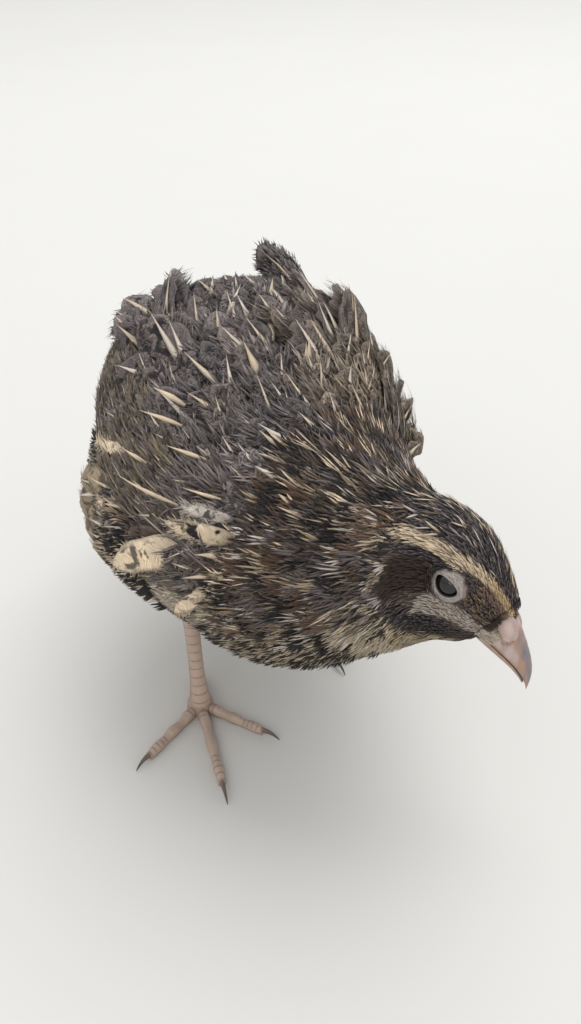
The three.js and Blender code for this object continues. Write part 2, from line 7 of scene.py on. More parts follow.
import bpy
import numpy as np
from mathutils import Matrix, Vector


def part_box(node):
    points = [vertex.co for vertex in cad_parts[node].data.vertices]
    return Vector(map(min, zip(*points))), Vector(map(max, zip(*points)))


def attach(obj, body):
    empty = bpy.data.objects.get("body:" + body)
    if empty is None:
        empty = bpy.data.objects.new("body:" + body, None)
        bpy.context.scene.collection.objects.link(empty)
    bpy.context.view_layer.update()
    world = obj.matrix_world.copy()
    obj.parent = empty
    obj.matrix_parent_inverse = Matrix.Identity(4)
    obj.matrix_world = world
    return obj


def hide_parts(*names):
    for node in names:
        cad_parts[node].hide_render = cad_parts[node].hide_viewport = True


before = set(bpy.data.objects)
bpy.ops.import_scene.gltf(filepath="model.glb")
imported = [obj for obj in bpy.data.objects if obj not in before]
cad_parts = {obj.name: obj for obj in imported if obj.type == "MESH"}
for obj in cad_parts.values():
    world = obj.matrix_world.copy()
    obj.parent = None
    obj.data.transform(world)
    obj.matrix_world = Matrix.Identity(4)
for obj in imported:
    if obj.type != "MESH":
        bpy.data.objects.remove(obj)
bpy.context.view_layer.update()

# %% [markdown]
# ## Sizes, colours and chance
# All lengths are in millimetres until a mesh is made. The solids stand a little off the axes in which the bird was
# drawn, because their origin is under the middle of their box. The ball of the right foot tells by how much.
# The colours are linear red, green and blue, named for what they are on a quail. One seeded generator makes every
# random draw, so each run gives the same bird.

# %% Sizes, colours and chance
MM = 0.001
UP = np.array([0.0, 0.0, 1.0])
FOOT_RIGHT = np.array([14.3, -21.5])
FOOT_LEFT = np.array([-15.0, 17.0])
foot_box = np.array([list(corner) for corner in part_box("foot_right")]) / MM
SHIFT = np.append(foot_box.mean(axis=0)[:2] - FOOT_RIGHT, 0.0)

INK = np.array([0.012, 0.010, 0.010])
CHARCOAL = np.array([0.043, 0.035, 0.036])
SLATE = np.array([0.086, 0.072, 0.072])
MAUVE = np.array([0.150, 0.124, 0.121])
ASH = np.array([0.24, 0.205, 0.197])
UMBER = np.array([0.050, 0.032, 0.023])
BROWN = np.array([0.115, 0.078, 0.056])
RUFOUS = np.array([0.205, 0.115, 0.068])
BUFF = np.array([0.40, 0.31, 0.205])
CREAM = np.array([0.78, 0.62, 0.44])
PALE = np.array([0.70, 0.62, 0.54])
THROAT = np.array([0.60, 0.48, 0.29])
YELLOW = np.array([0.64, 0.48, 0.26])
CROWN = np.array([0.040, 0.033, 0.035])

chance = np.random.default_rng(29)
print("solids stand off the drawing by", SHIFT.round(2), "mm")


def unit(v):
    """Each vector divided by its own length."""
    return v / np.maximum(np.linalg.norm(v, axis=-1, keepdims=True), 1e-12)


def smooth(x, low, high):
    """0 below low, 1 above high, and 3t^2 - 2t^3 of the share t of the way between them."""
    t = np.clip((x - low) / (high - low), 0, 1)
    return t * t * (3 - 2 * t)


def blend(a, b, share):
    """a where share is 0, b where it is 1."""
    share = np.asarray(share)[..., None]
    return a * (1 - share) + b * share


def layered(ground, *layers):
    """A ground colour under layers, each a pair of colour and share."""
    for colour, share in layers:
        ground = blend(ground, colour, share)
    return ground


def moved(origin, *moves):
    """An origin moved along each direction by its amounts."""
    for direction, amount in moves:
        origin = origin + direction * amount[..., None]
    return origin


# %% [markdown]
# ## Camera
# The photo was taken from close by and just over the bird, looking down by 32 degrees. A bird's sizes fix the rest:
# how far away the camera was, and how wide its view. The lens is given for a frame whose long side is 36 mm.

# %% Camera
CAMERA_AT = np.array([158.9, -48.8, 152.0])
CAMERA_DOWN = 32.0
CAMERA_TOWARDS = 160.0
LENS = 27.0

camera = bpy.data.objects.new("camera", bpy.data.cameras.new("camera"))
bpy.context.scene.collection.objects.link(camera)
camera.data.lens = LENS
camera.data.sensor_width = 36.0
camera.data.clip_start = 0.01
camera.location = (CAMERA_AT + SHIFT) * MM
camera.rotation_euler = np.radians([90 - CAMERA_DOWN, 0, CAMERA_TOWARDS - 90])
bpy.context.scene.camera = camera
print("camera at", (CAMERA_AT + SHIFT).round(1), "mm")

# %% [markdown]
# ## The surface of the plumage
# The bird's flesh and close plumage are ellipsoids that melt into each other, the same ones as in the solids. For
# each point in space a formula gives its distance to the common surface. That one function is enough to lay any
# feather on the body: walk over the surface, and step back to it whenever the distance isn't zero.

# %% Turns, and the head's axes
HEAD_AT = np.array([58.0, 22.6, 64.0])
HEAD_YAW, HEAD_PITCH, HEAD_ROLL = np.radians([33.0, 32.0, 18.0])


def around(v, axis, angle):
    """v turned about a unit axis: v cos + (axis x v) sin + axis (axis . v)(1 - cos)."""
    angle = np.asarray(angle)[..., None]
    share = np.sum(axis * v, axis=-1, keepdims=True)
    return v * np.cos(angle) + np.cross(axis, v) * np.sin(angle) + axis * share * (1 - np.cos(angle))


def tilted(pitch, roll=0.0):
    """The turn nose down by pitch about Y after a roll about X, both in degrees, as a matrix."""
    p, r = np.radians([pitch, -roll])
    about_y = np.array([[np.cos(p), 0, np.sin(p)], [0, 1, 0], [-np.sin(p), 0, np.cos(p)]])
    about_x = np.array([[1, 0, 0], [0, np.cos(r), -np.sin(r)], [0, np.sin(r), np.cos(r)]])
    return about_y @ about_x


AHEAD = np.array([np.cos(HEAD_YAW) * np.cos(HEAD_PITCH), np.sin(HEAD_YAW) * np.cos(HEAD_PITCH), -np.sin(HEAD_PITCH)])
LEFT = around(np.array([-np.sin(HEAD_YAW), np.cos(HEAD_YAW), 0.0]), AHEAD, -HEAD_ROLL)
HEAD = np.stack([AHEAD, LEFT, np.cross(AHEAD, LEFT)], axis=1)
LEVEL = np.eye(3)


def in_head(points):
    """Points given ahead, left and up of the eyes' middle, in the bird's axes."""
    return HEAD_AT + np.asarray(points, float) @ HEAD.T


def to_head(points):
    """Points of the bird's axes as ahead, left and up of the eyes' middle."""
    return (points - HEAD_AT) @ HEAD


# %% Distance to the plumage
# Each lump has a centre, three half sizes, the distance over which it blends, and its turn.
LUMPS = [
    ((0, 1, 62), (50, 33.5, 31), 0, tilted(15, -6)),  # trunk
    ((24, 1, 52), (25, 25, 20.5), 12, LEVEL),  # breast
    ((-30, 2, 73), (27, 26, 20), 14, tilted(-12)),  # rump
    ((-50, 1, 64), (18, 13, 12), 16, tilted(-30)),  # tail's root
    ((-66, 1, 55), (11, 8.2, 6.4), 5, tilted(-34)),  # tail's core
    ((-19, 17, 76.5), (32, 16, 15.5), 14, tilted(10)),  # left shoulder feathers
    ((-12, -13.5, 67), (31, 14.5, 16.5), 14, tilted(12)),  # right shoulder feathers
    ((-7.5, -23.5, 49.5), (24, 14.5, 16), 12, LEVEL),  # right flank
    ((-15, 22.5, 54), (24, 14, 17), 12, LEVEL),  # left flank
    ((36, 7, 59.5), (21, 20, 19), 12, tilted(-10)),  # neck's root
    ((47.5, 15.5, 59), (14, 13, 13.8), 9, LEVEL),  # neck
    (in_head((-3.8, 0, 0.7)), (12.4, 9.0, 9.3), 5, HEAD),  # cranium
    (in_head((5.8, 0, -1.0)), (9, 6.4, 6.8), 4, HEAD),  # face
    (in_head((-1, 0, -6.8)), (11, 7.2, 6.6), 5, HEAD),  # cheeks and throat
]
HOCK_HEIGHT, HOCK_BACK = 31.0, 5.0
HEADINGS = {"left": 4.0, "right": -3.0}
HANDS = (("left", 1), ("right", -1))
THIGH_TOP, THIGH_END = 12.0, 3.6


def leg_line(side):
    """Knee, hock and foot of a leg, and the way it points."""
    foot = np.append(FOOT_LEFT if side == "left" else FOOT_RIGHT, 0.0)
    heading = np.radians(HEADINGS[side])
    way = np.array([np.cos(heading), np.sin(heading), 0.0])
    hock = foot - HOCK_BACK * way + [0, 0, HOCK_HEIGHT]
    knee = hock + [7.0, -0.12 * foot[1], 17.0]
    return knee, hock, foot, way


def melt(d, e, over):
    """The smaller of two distances, less (over - |d - e|)^2 / (4 over) where they are near each other."""
    near = np.maximum(over - np.abs(d - e), 0)
    return np.minimum(d, e) - near * near / (4 * over)


def thigh_radius(share):
    """From 12 mm at the knee to 3.6 mm at the hock, by share^0.8."""
    return THIGH_TOP + (THIGH_END - THIGH_TOP) * share ** 0.8


def thigh_distance(points, side):
    """Distance to a thigh: to its line from knee to hock, less its radius there."""
    knee, hock, _, _ = leg_line(side)
    bone = hock - knee
    share = np.clip((points - knee) @ bone / (bone @ bone), 0, 1)
    return np.linalg.norm(points - knee - share[..., None] * bone, axis=-1) - thigh_radius(share)


def away(points, thighs=True):
    """Distance from points to the plumage, negative inside. For an ellipsoid it is k0 (k0 - 1) / k1, where k0 is the
    length of the point over the half sizes, and k1 its length over their squares."""
    d = np.full(points.shape[:-1], 1e3)
    for centre, radii, over, turn in LUMPS:
        near = ((points - centre) @ turn) / radii
        k0 = np.linalg.norm(near, axis=-1)
        k1 = np.maximum(np.linalg.norm(near / radii, axis=-1), 1e-6)
        e = k0 * (k0 - 1) / k1
        d = melt(d, e, over) if over else np.minimum(d, e)
    if thighs:
        for side in HEADINGS:
            d = melt(d, thigh_distance(points, side), 5.0)
    return d


def outward(points):
    """The way out of the plumage: how fast the distance grows along each axis."""
    step = 0.05
    here = away(points)
    rise = [away(points + step * axis) - here for axis in LEVEL]
    return unit(np.stack(rise, axis=-1))


# %% [markdown]
# ## Stations and angles
# A line runs through the body from the tail to the bill. Its stations are -1, 0, 1 ... 8, and at each station a
# spoke at some angle, counted from the back towards the bird's left, meets the surface. Station and angle name every
# place on the bird, just as the rows of feathers do. The spokes are marched once, on a fine grid, and read from it.

# %% Stations and angles
BILL_BASE = 11.8
TAIL_END, BILL_AT = -0.78, 8.0
SPINE = np.array([
    (-77, 1, 50.5), (-61, 1, 58), (-45, 1, 65.5), (-23, 1, 67.5), (2, 1, 62), (24, 3, 59), (39, 9, 60.5),
    (49, 15.8, 63), in_head((0, 0, -1)), in_head((BILL_BASE - 0.6, 0, -2)),
])


def spine(station):
    """A Catmull-Rom curve: through each pair of points with half the step from before to after as its slope."""
    ends = np.vstack([2 * SPINE[0] - SPINE[1], SPINE, 2 * SPINE[-1] - SPINE[-2]])
    at = np.asarray(station, float) + 1
    i = np.clip(np.floor(at).astype(int), 0, len(SPINE) - 2)
    t = (at - i)[..., None]
    before, here, there, after = (ends[i + k] for k in range(4))
    m0, m1 = (there - before) / 2, (after - here) / 2
    cubic, square = 2 * here - 2 * there + m0 + m1, 3 * there - 3 * here - 2 * m0 - m1
    return ((cubic * t + square) * t + m0) * t + here


def spoke(station, angle):
    """A spoke's start on the line, and its way out: up and aside, turned by its angle and by the head's roll."""
    station = np.asarray(station, float)
    start = spine(station)
    along = unit(spine(np.minimum(station + 1e-3, BILL_AT)) - spine(station - 1e-3))
    side = unit(np.cross(UP, along))
    side = around(side, along, -HEAD_ROLL * smooth(station, 5.5, 7))
    turn = np.radians(angle)[..., None]
    return start, np.cross(along, side) * np.cos(turn) + side * np.sin(turn)


def spoke_length(start, ray):
    """Out in strides to the surface, then halving the last stride."""
    stride, most, halvings = 2.0, 45, 14
    out = np.ones(start.shape[:-1])
    for _ in range(most):
        inside = away(start + ray * out[..., None], thighs=False) < 0
        if not inside.any():
            break
        out = np.where(inside, out + stride, out)
    low, high = out - stride, out
    for _ in range(halvings):
        middle = (low + high) / 2
        inside = away(start + ray * middle[..., None], thighs=False) < 0
        low, high = np.where(inside, middle, low), np.where(inside, high, middle)
    return np.maximum(high, 0.3)


GRID_S = np.linspace(TAIL_END, BILL_AT, 353)
GRID_F = np.linspace(-180, 180, 181)
grid_start, grid_ray = spoke(*np.meshgrid(GRID_S, GRID_F, indexing="ij"))
GRID = spoke_length(grid_start, grid_ray)


def surface(station, angle, height=0.0):
    """The point over a place: the spoke's length comes from the grid, between its four nearest values."""
    station = np.clip(station, TAIL_END, BILL_AT)
    angle = np.asarray(angle, float)
    i = (station - TAIL_END) / (BILL_AT - TAIL_END) * (len(GRID_S) - 1)
    j = ((angle + 180) % 360) / 360 * (len(GRID_F) - 1)
    i0, j0 = np.minimum(i.astype(int), len(GRID_S) - 2), np.minimum(j.astype(int), len(GRID_F) - 2)
    u, v = i - i0, j - j0
    low = GRID[i0, j0] * (1 - v) + GRID[i0, j0 + 1] * v
    high = GRID[i0 + 1, j0] * (1 - v) + GRID[i0 + 1, j0 + 1] * v
    start, ray = spoke(station, angle)
    return start + ray * (low * (1 - u) + high * u + height)[..., None]


length_along = np.linalg.norm(np.diff(spine(GRID_S), axis=0), axis=-1)
LENGTH_SHARE = np.append(0, np.cumsum(length_along)) / length_along.sum()


def unwrap(station, angle):
    """A place's own spot on the flat unwrap: the angle across it, the share of the body's length up it."""
    across = np.clip((angle + 180) / 360, 0.003, 0.997)
    up = 0.01 + 0.82 * np.interp(station, GRID_S, LENGTH_SHARE)
    return np.stack([across, up], axis=-1)


print("surface grid", GRID.shape, "longest spoke", GRID.max().round(1), "mm")

# %% [markdown]
# ## Where feathers root
# Feathers grow in rows, each row set off by half a step from the last. A row is a level line: the length along the
# body, counted in row gaps, reaches a whole number on it. Along the row the length round the body is counted in
# feather gaps in the same way. Both gaps may change from place to place, so the face gets tiny rows, the back wide.

# %% Where feathers root
def rooted(stations, angles, row_gap, feather_gap, wander, keep):
    """Stations and angles of the roots between two stations and two angles, in staggered rows. row_gap and
    feather_gap give millimetres from station and angle, wander is the random share of a gap, and keep says where
    roots may stand."""
    s = np.linspace(*stations, 220)
    f = np.linspace(*angles, 240)
    grid_s, grid_f = np.meshgrid(s, f, indexing="ij")
    points = surface(grid_s, grid_f)
    steps = np.linalg.norm(np.diff(points, axis=0), axis=-1) / row_gap(grid_s, grid_f)[1:]
    counted = np.vstack([np.zeros(len(f)), np.cumsum(steps, axis=0)])
    found = []
    for row in range(int(counted.max())):
        level = row + 0.5
        i = np.clip((counted < level).sum(axis=0), 1, len(s) - 1)
        column = np.arange(len(f))
        low, high = counted[i - 1, column], counted[i, column]
        share = np.clip((level - low) / np.maximum(high - low, 1e-9), 0, 1)
        row_s = s[i - 1] + share * (s[i] - s[i - 1])
        there = counted[-1] >= level
        line = surface(row_s, f)
        gap = feather_gap(row_s, f)[1:]
        step = np.linalg.norm(np.diff(line, axis=0), axis=-1) / gap * (there[1:] & there[:-1])
        round_body = np.append(0, np.cumsum(step))
        at = np.arange(0.25 + 0.5 * (row % 2), round_body[-1], 1.0)
        at = np.clip(at + wander * (chance.random(len(at)) - 0.5), 0, round_body[-1])
        if len(at):
            found.append(np.stack([np.interp(at, round_body, row_s), np.interp(at, round_body, f)], axis=-1))
    found = np.concatenate(found)
    shake = wander * (chance.random(len(found)) - 0.5) * row_gap(found[:, 0], found[:, 1])
    ahead = surface(found[:, 0] + 0.02, found[:, 1])
    pace = np.linalg.norm(ahead - surface(found[:, 0] - 0.02, found[:, 1]), axis=-1) / 0.04
    found[:, 0] = np.clip(found[:, 0] + shake / np.maximum(pace, 3.0), *stations)
    s, f = found.T
    mask = keep(s, f) if keep else slice(None)
    return s[mask], f[mask]


def even(gap):
    """The same gap everywhere."""
    return lambda s, f: gap + 0 * s


def narrowing(gap, less, low, high):
    """A gap that is narrower by less from station low to station high."""
    return lambda s, f: gap - less * smooth(s, low, high)


# %% [markdown]
# ## How feathers lie
# A feather's midline starts at its root and runs towards the tail over the surface. At each step it keeps its
# heading, drops back to the surface, and takes the surface's own outward direction there. So a long feather bends
# with the body, whatever the body's shape, and its height over the skin can then be a plain formula.

# %% How feathers lie
VANE_MARKS = 1 - (1 - np.linspace(0, 1, 9)) ** 1.6
LOCK_MARKS = np.array([0, 0.36, 0.72, 1.0])
BARB_MARKS = np.array([0, 0.5, 1.0])


def level(way, out):
    """A heading laid flat on the surface: its share along the outward direction taken away."""
    return unit(way - out * np.sum(way * out, axis=-1, keepdims=True))


def comb(roots, way, length, marks):
    """Midlines of feathers: points, outward directions and headings, each of shape (feather, mark, 3), and the
    marks' shares of the length. Each step goes along the heading, then back by the distance to the surface."""
    at, out = roots, outward(roots)
    way = level(way, out)
    line = [(at, out, way)]
    for step in np.diff(marks):
        at = at + way * (length * step)[:, None]
        at = at - out * away(at)[:, None]
        out = outward(at)
        at = at - out * away(at)[:, None]
        way = level(way, out)
        line.append((at, out, way))
    return *(np.stack(part, axis=1) for part in zip(*line)), marks


def straight(roots, heading, length, out, marks=LOCK_MARKS):
    """Midlines that run straight on from their roots."""
    line = roots[:, None] + heading[:, None] * (length[:, None] * marks)[..., None]
    out, heading = (np.repeat(part[:, None], len(marks), axis=1) for part in (out, heading))
    return line, out, heading, marks


def lengths(midline):
    """Length of each midline."""
    return np.linalg.norm(np.diff(midline[0], axis=1), axis=-1).sum(axis=1)


def mottle(points, patch, seed):
    """A smooth random field, mostly from -1 to 1, with patches of about the given size: nine waves, summed."""
    own = np.random.default_rng(seed)
    waves = unit(own.normal(size=(9, 3))) * (2 * np.pi / patch) * own.uniform(0.6, 1.4, (9, 1))
    return np.sin(points @ waves.T + own.uniform(0, 2 * np.pi, 9)).mean(axis=-1) * 2.0


# %% [markdown]
# ## Meshes of many feathers
# All feathers of a piece share one pattern of faces, so the mesh is that pattern repeated. A vane is a thin leaf,
# closed all round: a top and an underside that share their rim. A lock is a few barbs stuck together: a pointed
# strip with a ridge, closed with a few triangles. Every corner carries two flat maps. Vane says where on the feather it
# is, and OFBake gives each feather its own small patch on the unwrap of the whole body. A batch of feathers is four
# things: midlines, sizes, looks, and the spots of the roots on that unwrap.

# %% Meshes of many feathers
PATCH = 0.003
SWEEP = 0.15


def mesh_piece(name, points, faces, values, maps, material, nodes=()):
    """A mesh object from points in millimetres, arrays of faces, values per point and flat maps. It takes the place
    of the given solids, or of the one that has its name."""
    mesh = bpy.data.meshes.new(name)
    points = points.reshape(-1, 3)
    corners = np.concatenate([part.ravel() for part in faces]).astype(np.int32)
    sides = np.concatenate([np.full(len(part), part.shape[1]) for part in faces]).astype(np.int32)
    mesh.vertices.add(len(points))
    mesh.vertices.foreach_set("co", ((points + SHIFT) * MM).astype(np.float32).ravel())
    mesh.loops.add(len(corners))
    mesh.loops.foreach_set("vertex_index", corners)
    mesh.polygons.add(len(sides))
    mesh.polygons.foreach_set("loop_start", np.append(0, np.cumsum(sides)[:-1]).astype(np.int32))
    mesh.polygons.foreach_set("loop_total", sides)
    mesh.polygons.foreach_set("use_smooth", np.full(len(sides), True))
    for key, value in maps.items():
        value = value[corners] if len(value) == len(points) else value
        mesh.uv_layers.new(name=key).data.foreach_set("uv", value.astype(np.float32).ravel())
    for key, value in values.items():
        layer = mesh.attributes.new(key, "FLOAT_VECTOR", "POINT")
        layer.data.foreach_set("vector", value.astype(np.float32).ravel())
    mesh.update(calc_edges=True)
    mesh.validate()
    mesh.materials.append(material)
    piece = bpy.data.objects.new(name, mesh)
    bpy.context.scene.collection.objects.link(piece)
    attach(piece, "root")
    nodes = nodes or [name] * (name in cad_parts)
    if nodes:
        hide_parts(*nodes)
    print(f"{name}: {len(points)} points, {len(corners) - 2 * len(sides)} triangles")
    return piece


def feather_piece(name, batch, points, across, along, patterns, material):
    """A piece of alike feathers, from one feather's face patterns and the share of each point across and along it."""
    _, _, looks, spots = batch
    count, per = len(spots), len(across)
    offset = (np.arange(count) * per)[:, None, None]
    faces = [(pattern[None] + offset).reshape(-1, pattern.shape[1]) for pattern in patterns]
    place = np.stack([across, along], axis=-1)
    maps = {
        "OFBake": (spots[:, None] + (place - 0.5) * PATCH).reshape(-1, 2),
        "Vane": np.tile(place, (count, 1)),
    }
    values = {key: np.repeat(value, per, axis=0) for key, value in looks.items()}
    return mesh_piece(name, points, faces, values, maps, material)


# %% Vanes and locks
def vane_shape(a):
    """Half a vane's width at share a of its length, as a share of its most: a narrow root and a round tip."""
    end = np.clip((a - 0.45) / 0.55, 0, 1)
    return np.minimum(1, 0.35 + 2.2 * a) * np.sqrt(np.maximum(1 - end ** 2.4, 0.01))


def height_over(size, a):
    """Height of a shaft over the surface: from root's to tip's lift as a^bend, less curl a^3."""
    lift, bend, curl = size["lift"], size["bend"][:, None], size["curl"][:, None]
    return lift[:, :1] + (lift[:, 1:] - lift[:, :1]) * a ** bend - curl * a ** 3


def leaf_faces(rows, columns):
    """Quads of a closed leaf: its top grid, and an underside that shares the grid's rim."""
    top = np.arange((rows + 1) * (columns + 1)).reshape(rows + 1, columns + 1)
    under = top.copy()
    under[1:-1, 1:-1] = top.size + np.arange((rows - 1) * (columns - 1)).reshape(rows - 1, columns - 1)
    corners = lambda g: np.stack([g[:-1, :-1], g[:-1, 1:], g[1:, 1:], g[1:, :-1]], axis=-1).reshape(-1, 4)
    return np.concatenate([corners(top), corners(under)[:, ::-1]])


def leaves(name, batch, notch, columns=6):
    """Vanes over their midlines, as wide as vane_shape says. Over the shaft's height comes tilt c - droop c^2
    across the vane, c being -1 at one rim and 1 at the other. notch makes the rims uneven."""
    (at, out, way, a), size = batch[:2]
    rows = len(a) - 1
    c = np.linspace(-1, 1, columns + 1)
    ragged = 1 + notch * (chance.random((len(at), rows + 1, 2)) - 0.5)
    edge = np.where(c < 0, ragged[..., :1], ragged[..., 1:])
    half = (size["width"][:, None] / 2 * vane_shape(a))[..., None]
    tilt, droop = (size[key][:, None, None] for key in ("tilt", "droop"))
    raised = height_over(size, a)[..., None] + half * (tilt * c - droop * c ** 2)
    side = np.cross(way, out)
    back = SWEEP * half * np.abs(c)
    base = at[:, :, None] + side[:, :, None] * (half * c * edge)[..., None] - way[:, :, None] * back[..., None]
    thick = 0.16 * (1 - 0.6 * a)[:, None] * (1 - c ** 2)
    top = base + out[:, :, None] * (raised + thick)[..., None]
    low = base + out[:, :, None] * (raised - 0.5 * thick)[..., None]
    inner = low[:, 1:-1, 1:-1]
    points = np.concatenate([part.reshape(len(at), -1, 3) for part in (top, inner)], axis=1)
    along, across = (np.append(grid, grid[1:-1, 1:-1]) for grid in np.meshgrid(a, c, indexing="ij"))
    return feather_piece(name, batch, points, across / 2 + 0.5, along, [leaf_faces(rows, columns)], VANES)


def locks(name, batch, waist=(0.75, 1.0, 0.7)):
    """Pointed strips over midlines: three points, left, ridge and right, at each mark but the last, which is the
    point. waist gives the width at each mark as a share of the most."""
    (at, out, way, a), size = batch[:2]
    waist = np.array(waist)
    rings = len(waist)
    base = at + out * height_over(size, a)[..., None]
    half = np.cross(way, out)[:, :-1] * (size["width"][:, None] / 2 * waist)[..., None]
    ridge = out[:, :-1] * (size["thick"][:, None] * waist)[..., None]
    ring = np.stack([base[:, :-1] - half, base[:, :-1] + ridge, base[:, :-1] + half], axis=2)
    points = np.concatenate([ring.reshape(len(at), -1, 3), base[:, -1:]], axis=1)
    strip = np.array([[0, 1, 4, 3], [1, 2, 5, 4], [2, 0, 3, 5]])
    quads = (strip[None] + 3 * np.arange(rings - 1)[:, None, None]).reshape(-1, 4)
    last, tip = 3 * (rings - 1), 3 * rings
    ends = np.array([[0, 2, 1], [last, last + 1, tip], [last + 1, last + 2, tip], [last + 2, last, tip]])
    across = np.append(np.tile([0.0, 0.5, 1.0], rings), 0.5)
    along = np.append(np.repeat(a[:-1], 3), 1.0)
    return feather_piece(name, batch, points, across, along, [quads, ends], LOCKS)

# %% [markdown]
# ## Materials of feathers
# A feather's colour comes in layers. Each has a ground colour, a second colour that runs round its rim and in fine
# wavy bars, and barbs: hair-thin lines that run slantwise from the shaft. The three layers are node groups. The
# colours themselves are values on the mesh, so one material serves the whole coat and the skin below it.

# %% Node helpers
def join(tree, kind, inputs=None, **settings):
    """The outputs of a new node. An input that is a socket is linked, any other value is set."""
    node = tree.nodes.new("ShaderNode" + kind)
    for key, value in settings.items():
        setattr(node, key, value)
    for key, value in (inputs or {}).items():
        if isinstance(value, bpy.types.NodeSocket):
            tree.links.new(value, node.inputs[key])
        else:
            node.inputs[key].default_value = value
    return node.outputs


def calc(tree, operation, *terms):
    """A Math node's result."""
    return join(tree, "Math", dict(enumerate(terms)), operation=operation)[0]


def times(tree, first, *others):
    """The product of values."""
    for other in others:
        first = calc(tree, "MULTIPLY", first, other)
    return first


def mixed(tree, share, a, b):
    """Colour a where share is 0, b where it is 1."""
    return join(tree, "Mix", {0: share, 6: a, 7: b}, data_type="RGBA")[2]


def ramp(tree, value, low, high, to_low=0.0, to_high=1.0):
    """A value carried smoothly from one range to another."""
    inputs = {"Value": value, "From Min": low, "From Max": high, "To Min": to_low, "To Max": to_high}
    return join(tree, "MapRange", inputs, interpolation_type="SMOOTHSTEP")[0]


def noise(tree, at, scale, detail):
    """Cloudy noise from 0 to 1."""
    return join(tree, "TexNoise", {"Vector": at, "Scale": scale, "Detail": detail})[0]


def vector(tree, x, y, z=0.0):
    """A vector from three values."""
    return join(tree, "CombineXYZ", {0: x, 1: y, 2: z})[0]


def attribute(tree, key):
    """A value on the mesh."""
    return join(tree, "Attribute", attribute_name=key)["Vector"]


def split(tree, value):
    """The three parts of a vector."""
    return join(tree, "SeparateXYZ", {0: value})


def tinted(tree, colour, tint):
    """A colour times a tint."""
    return join(tree, "VectorMath", {0: colour, 1: tint}, operation="MULTIPLY")[0]


def bump(tree, height, distance, strength):
    """The normal of a finely uneven surface."""
    return join(tree, "Bump", {"Height": height, "Distance": distance, "Strength": strength})[0]


def object_place(tree):
    """The place in the object's own axes."""
    return join(tree, "TexCoord")["Object"]


def new_material(name):
    """A material and its tree, emptied."""
    material = bpy.data.materials.new(name)
    material.use_nodes = True
    material.node_tree.nodes.clear()
    return material, material.node_tree


def shaded(tree, inputs):
    """A Principled shader, led to the material's output."""
    shader = join(tree, "BsdfPrincipled", inputs)
    join(tree, "OutputMaterial", {"Surface": shader[0]})


def group(name, inputs, output):
    """An empty node group with number inputs and one number output: its tree, its inputs and what sets its output."""
    tree = bpy.data.node_groups.new(name, "ShaderNodeTree")
    for key in inputs:
        tree.interface.new_socket(key, in_out="INPUT", socket_type="NodeSocketFloat")
    tree.interface.new_socket(output, in_out="OUTPUT", socket_type="NodeSocketFloat")
    take = tree.nodes.new("NodeGroupOutput").inputs[0]
    return tree, tree.nodes.new("NodeGroupInput").outputs, lambda value: tree.links.new(value, take)


# %% Barbs, bars and rims
def seeded_noise(tree, give, across, wide, long, seed, detail):
    """Noise over a feather's millimetres, wide times across and long times along it, other for each seed."""
    at = vector(tree, times(tree, across, wide), times(tree, give["Along"], long), times(tree, give["Seed"], seed))
    return noise(tree, at, 1.0, detail)


SPOT = ["Across", "Along", "Seed"]
barbs, give, take = group("Barbs", SPOT + ["Slant"], "Lines")
slanted = calc(barbs, "SUBTRACT", give["Along"], times(barbs, give["Across"], give["Slant"]))
take(ramp(barbs, seeded_noise(barbs, give, slanted, 4.5, 0.3, 61.0, 2.0), 0.3, 0.7))

bars, give, take = group("Wavy bars", SPOT + ["Gap"], "Bars")
swayed = times(bars, seeded_noise(bars, give, give["Across"], 0.7, 0.8, 43.0, 2.5), 4.0)
phase = calc(bars, "ADD", calc(bars, "DIVIDE", give["Along"], give["Gap"]), swayed)
take(ramp(bars, calc(bars, "SINE", times(bars, phase, 2 * np.pi)), -0.2, 0.8))

blotches, give, take = group("Blotches", SPOT, "Blotches")
take(ramp(blotches, seeded_noise(blotches, give, give["Across"], 0.3, 0.26, 29.0, 3.0), 0.5, 0.6))

rim, give, take = group("Rim", SPOT[:2], "Rim")
aside = calc(rim, "ABSOLUTE", calc(rim, "SUBTRACT", times(rim, give["Across"], 2.0), 1.0))
take(calc(rim, "MAXIMUM", ramp(rim, aside, 0.6, 1.0), ramp(rim, give["Along"], 0.84, 1.0)))


